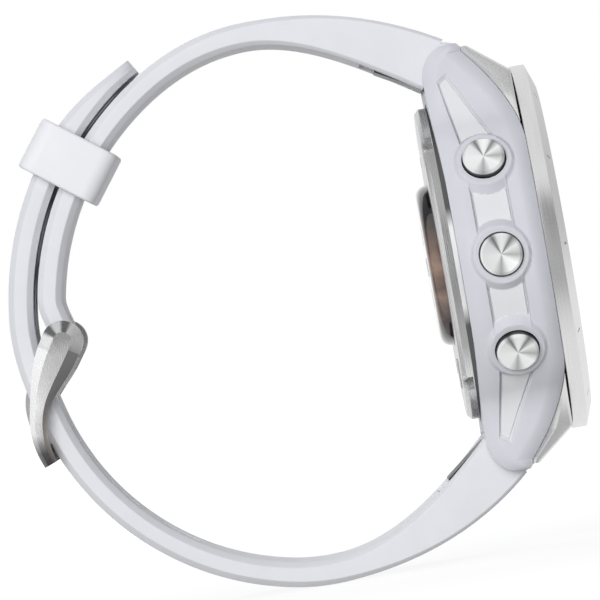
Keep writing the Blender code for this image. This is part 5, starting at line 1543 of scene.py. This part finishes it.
CENTRE = ((0.0, 0.0), (0.9, 0.0), (0.99, 1.0), (1.0, 1.0))
CENTRE_TONE = (0.5, 0.5, 0.5, 1.0)
FRONT = ((0.0, 0.0), (0.15, 1.0), (1.0, 1.0))
BEHIND = ((0.0, 0.9), (0.12, 0.85), (0.25, 0.5), (0.38, 0.85), (0.75, 0.95), (1.0, 0.9))


def mirrored_tone(nodes):
    """Light and dark panels round the camera, plain light behind the watch."""
    c = math.cos(CAMERA_TILT)
    s = math.sin(CAMERA_TILT)
    around = nodes.turn_share(nodes.towards((0.0, c, s)), nodes.towards((0.0, s, -c)))
    facing = nodes.towards((-1.0, 0.0, 0.0))
    centre, below, above, ahead = [nodes.ramp(facing, greys(stops))
                                   for stops in (CENTRE, BELOW, ABOVE, FRONT)]
    sides, half, upright, behind = [nodes.ramp(around, greys(stops))
                                    for stops in (ROUND, UPPER_HALF, UPRIGHT, BEHIND)]
    sides = nodes.blended(centre, sides, CENTRE_TONE)
    front = nodes.blended(upright, sides, nodes.blended(half, below, above))
    return nodes.blended(ahead, behind, front)


def make_world():
    """White to look at, a dim cool fill, and panels for reflections."""
    world = bpy.data.worlds.new("studio")
    bpy.context.scene.world = world
    world.use_nodes = True
    nodes = Nodes(world.node_tree)
    fill = world.node_tree.nodes["Background"]
    fill.inputs["Color"].default_value = FILL_COLOUR
    nodes.link(nodes.fitted(nodes.towards((0.0, 0.0, 1.0)), -1.0, 1.0, FILL_BELOW, FILL_ABOVE),
               fill.inputs["Strength"])
    plain = nodes.node("Background", 0, {"Color": WHITE})
    panels = nodes.node("Background", 0, {"Color": mirrored_tone(nodes)})
    seen, mirrored = nodes.rays()
    shown = nodes.node("MixShader", 0, {0: seen, 1: fill.outputs[0], 2: plain})
    shown = nodes.node("MixShader", 0, {0: mirrored, 1: shown, 2: panels})
    nodes.link(shown, world.node_tree.nodes["World Output"].inputs["Surface"])


def make_floor():
    """White to look at, darker towards the camera in reflections, and a little light upward."""
    bm = bmesh.new()
    bmesh.ops.create_grid(bm, x_segments=1, y_segments=1, size=FLOOR_SIZE)
    floor = new_object("floor", mesh_from(bm, "floor"), Matrix.Translation((0.0, 0.0, CAD_BOX[0][2])))
    finish = Finish("floor", 1.0)
    finish.give("Base Color", FLOOR_COLOUR)
    finish.give("Specular IOR Level", 0.0)
    finish.give("Emission Color", WHITE)
    seen, mirrored = finish.rays()
    away = finish.vectors('LENGTH', "Value", finish.place)
    plain = finish.fitted(away, FLOOR_NEAR, FLOOR_FAR, FLOOR_NEAR_TONE, 1.0)
    shiny = finish.fitted(finish.part(finish.place, "X"), GLINT_FAR, GLINT_NEAR,
                          GLINT_FAR_TONE, GLINT_NEAR_TONE)
    lit = finish.fitted(mirrored, 0.0, 1.0, FLOOR_LIGHT, shiny)
    finish.give("Emission Strength", finish.fitted(seen, 0.0, 1.0, lit, plain))
    floor.data.materials.append(MATERIALS["floor"])


def make_lamps():
    """Soft square lamps aimed at the watch, left out of reflections."""
    for name, spot, power in LAMPS:
        data = bpy.data.lights.new(name, 'AREA')
        data.size = LAMP_SIZE
        data.energy = power
        item = new_object(name, data, axis_matrix(spot, Vector(spot) - Vector(WATCH_MIDDLE)))
        item.visible_glossy = False


def make_camera():
    """Camera on the 9 o'clock side, rolled so that the watch leans as in the picture."""
    data = bpy.data.cameras.new("camera")
    data.sensor_width = SENSOR
    data.lens = SENSOR * CAMERA_DISTANCE / PICTURE_WIDTH
    data.clip_end = CAMERA_REACH
    c = math.cos(CAMERA_TILT)
    s = math.sin(CAMERA_TILT)
    bpy.context.scene.camera = new_object("camera", data, Matrix((
        (0.0, 0.0, -1.0, -CAMERA_DISTANCE), (-c, -s, 0.0, AIM[0]), (-s, c, 0.0, AIM[1]),
        (0.0, 0.0, 0.0, 1.0))))


make_materials()
make_case()
make_buttons()
make_bezel()
make_lug_covers()
make_back()
make_upper_strap()
make_lower_strap()
make_keeper()
make_buckle()
dress_inside()
make_world()
make_floor()
make_lamps()
make_camera()
bpy.context.scene.view_settings.view_transform = 'Standard'
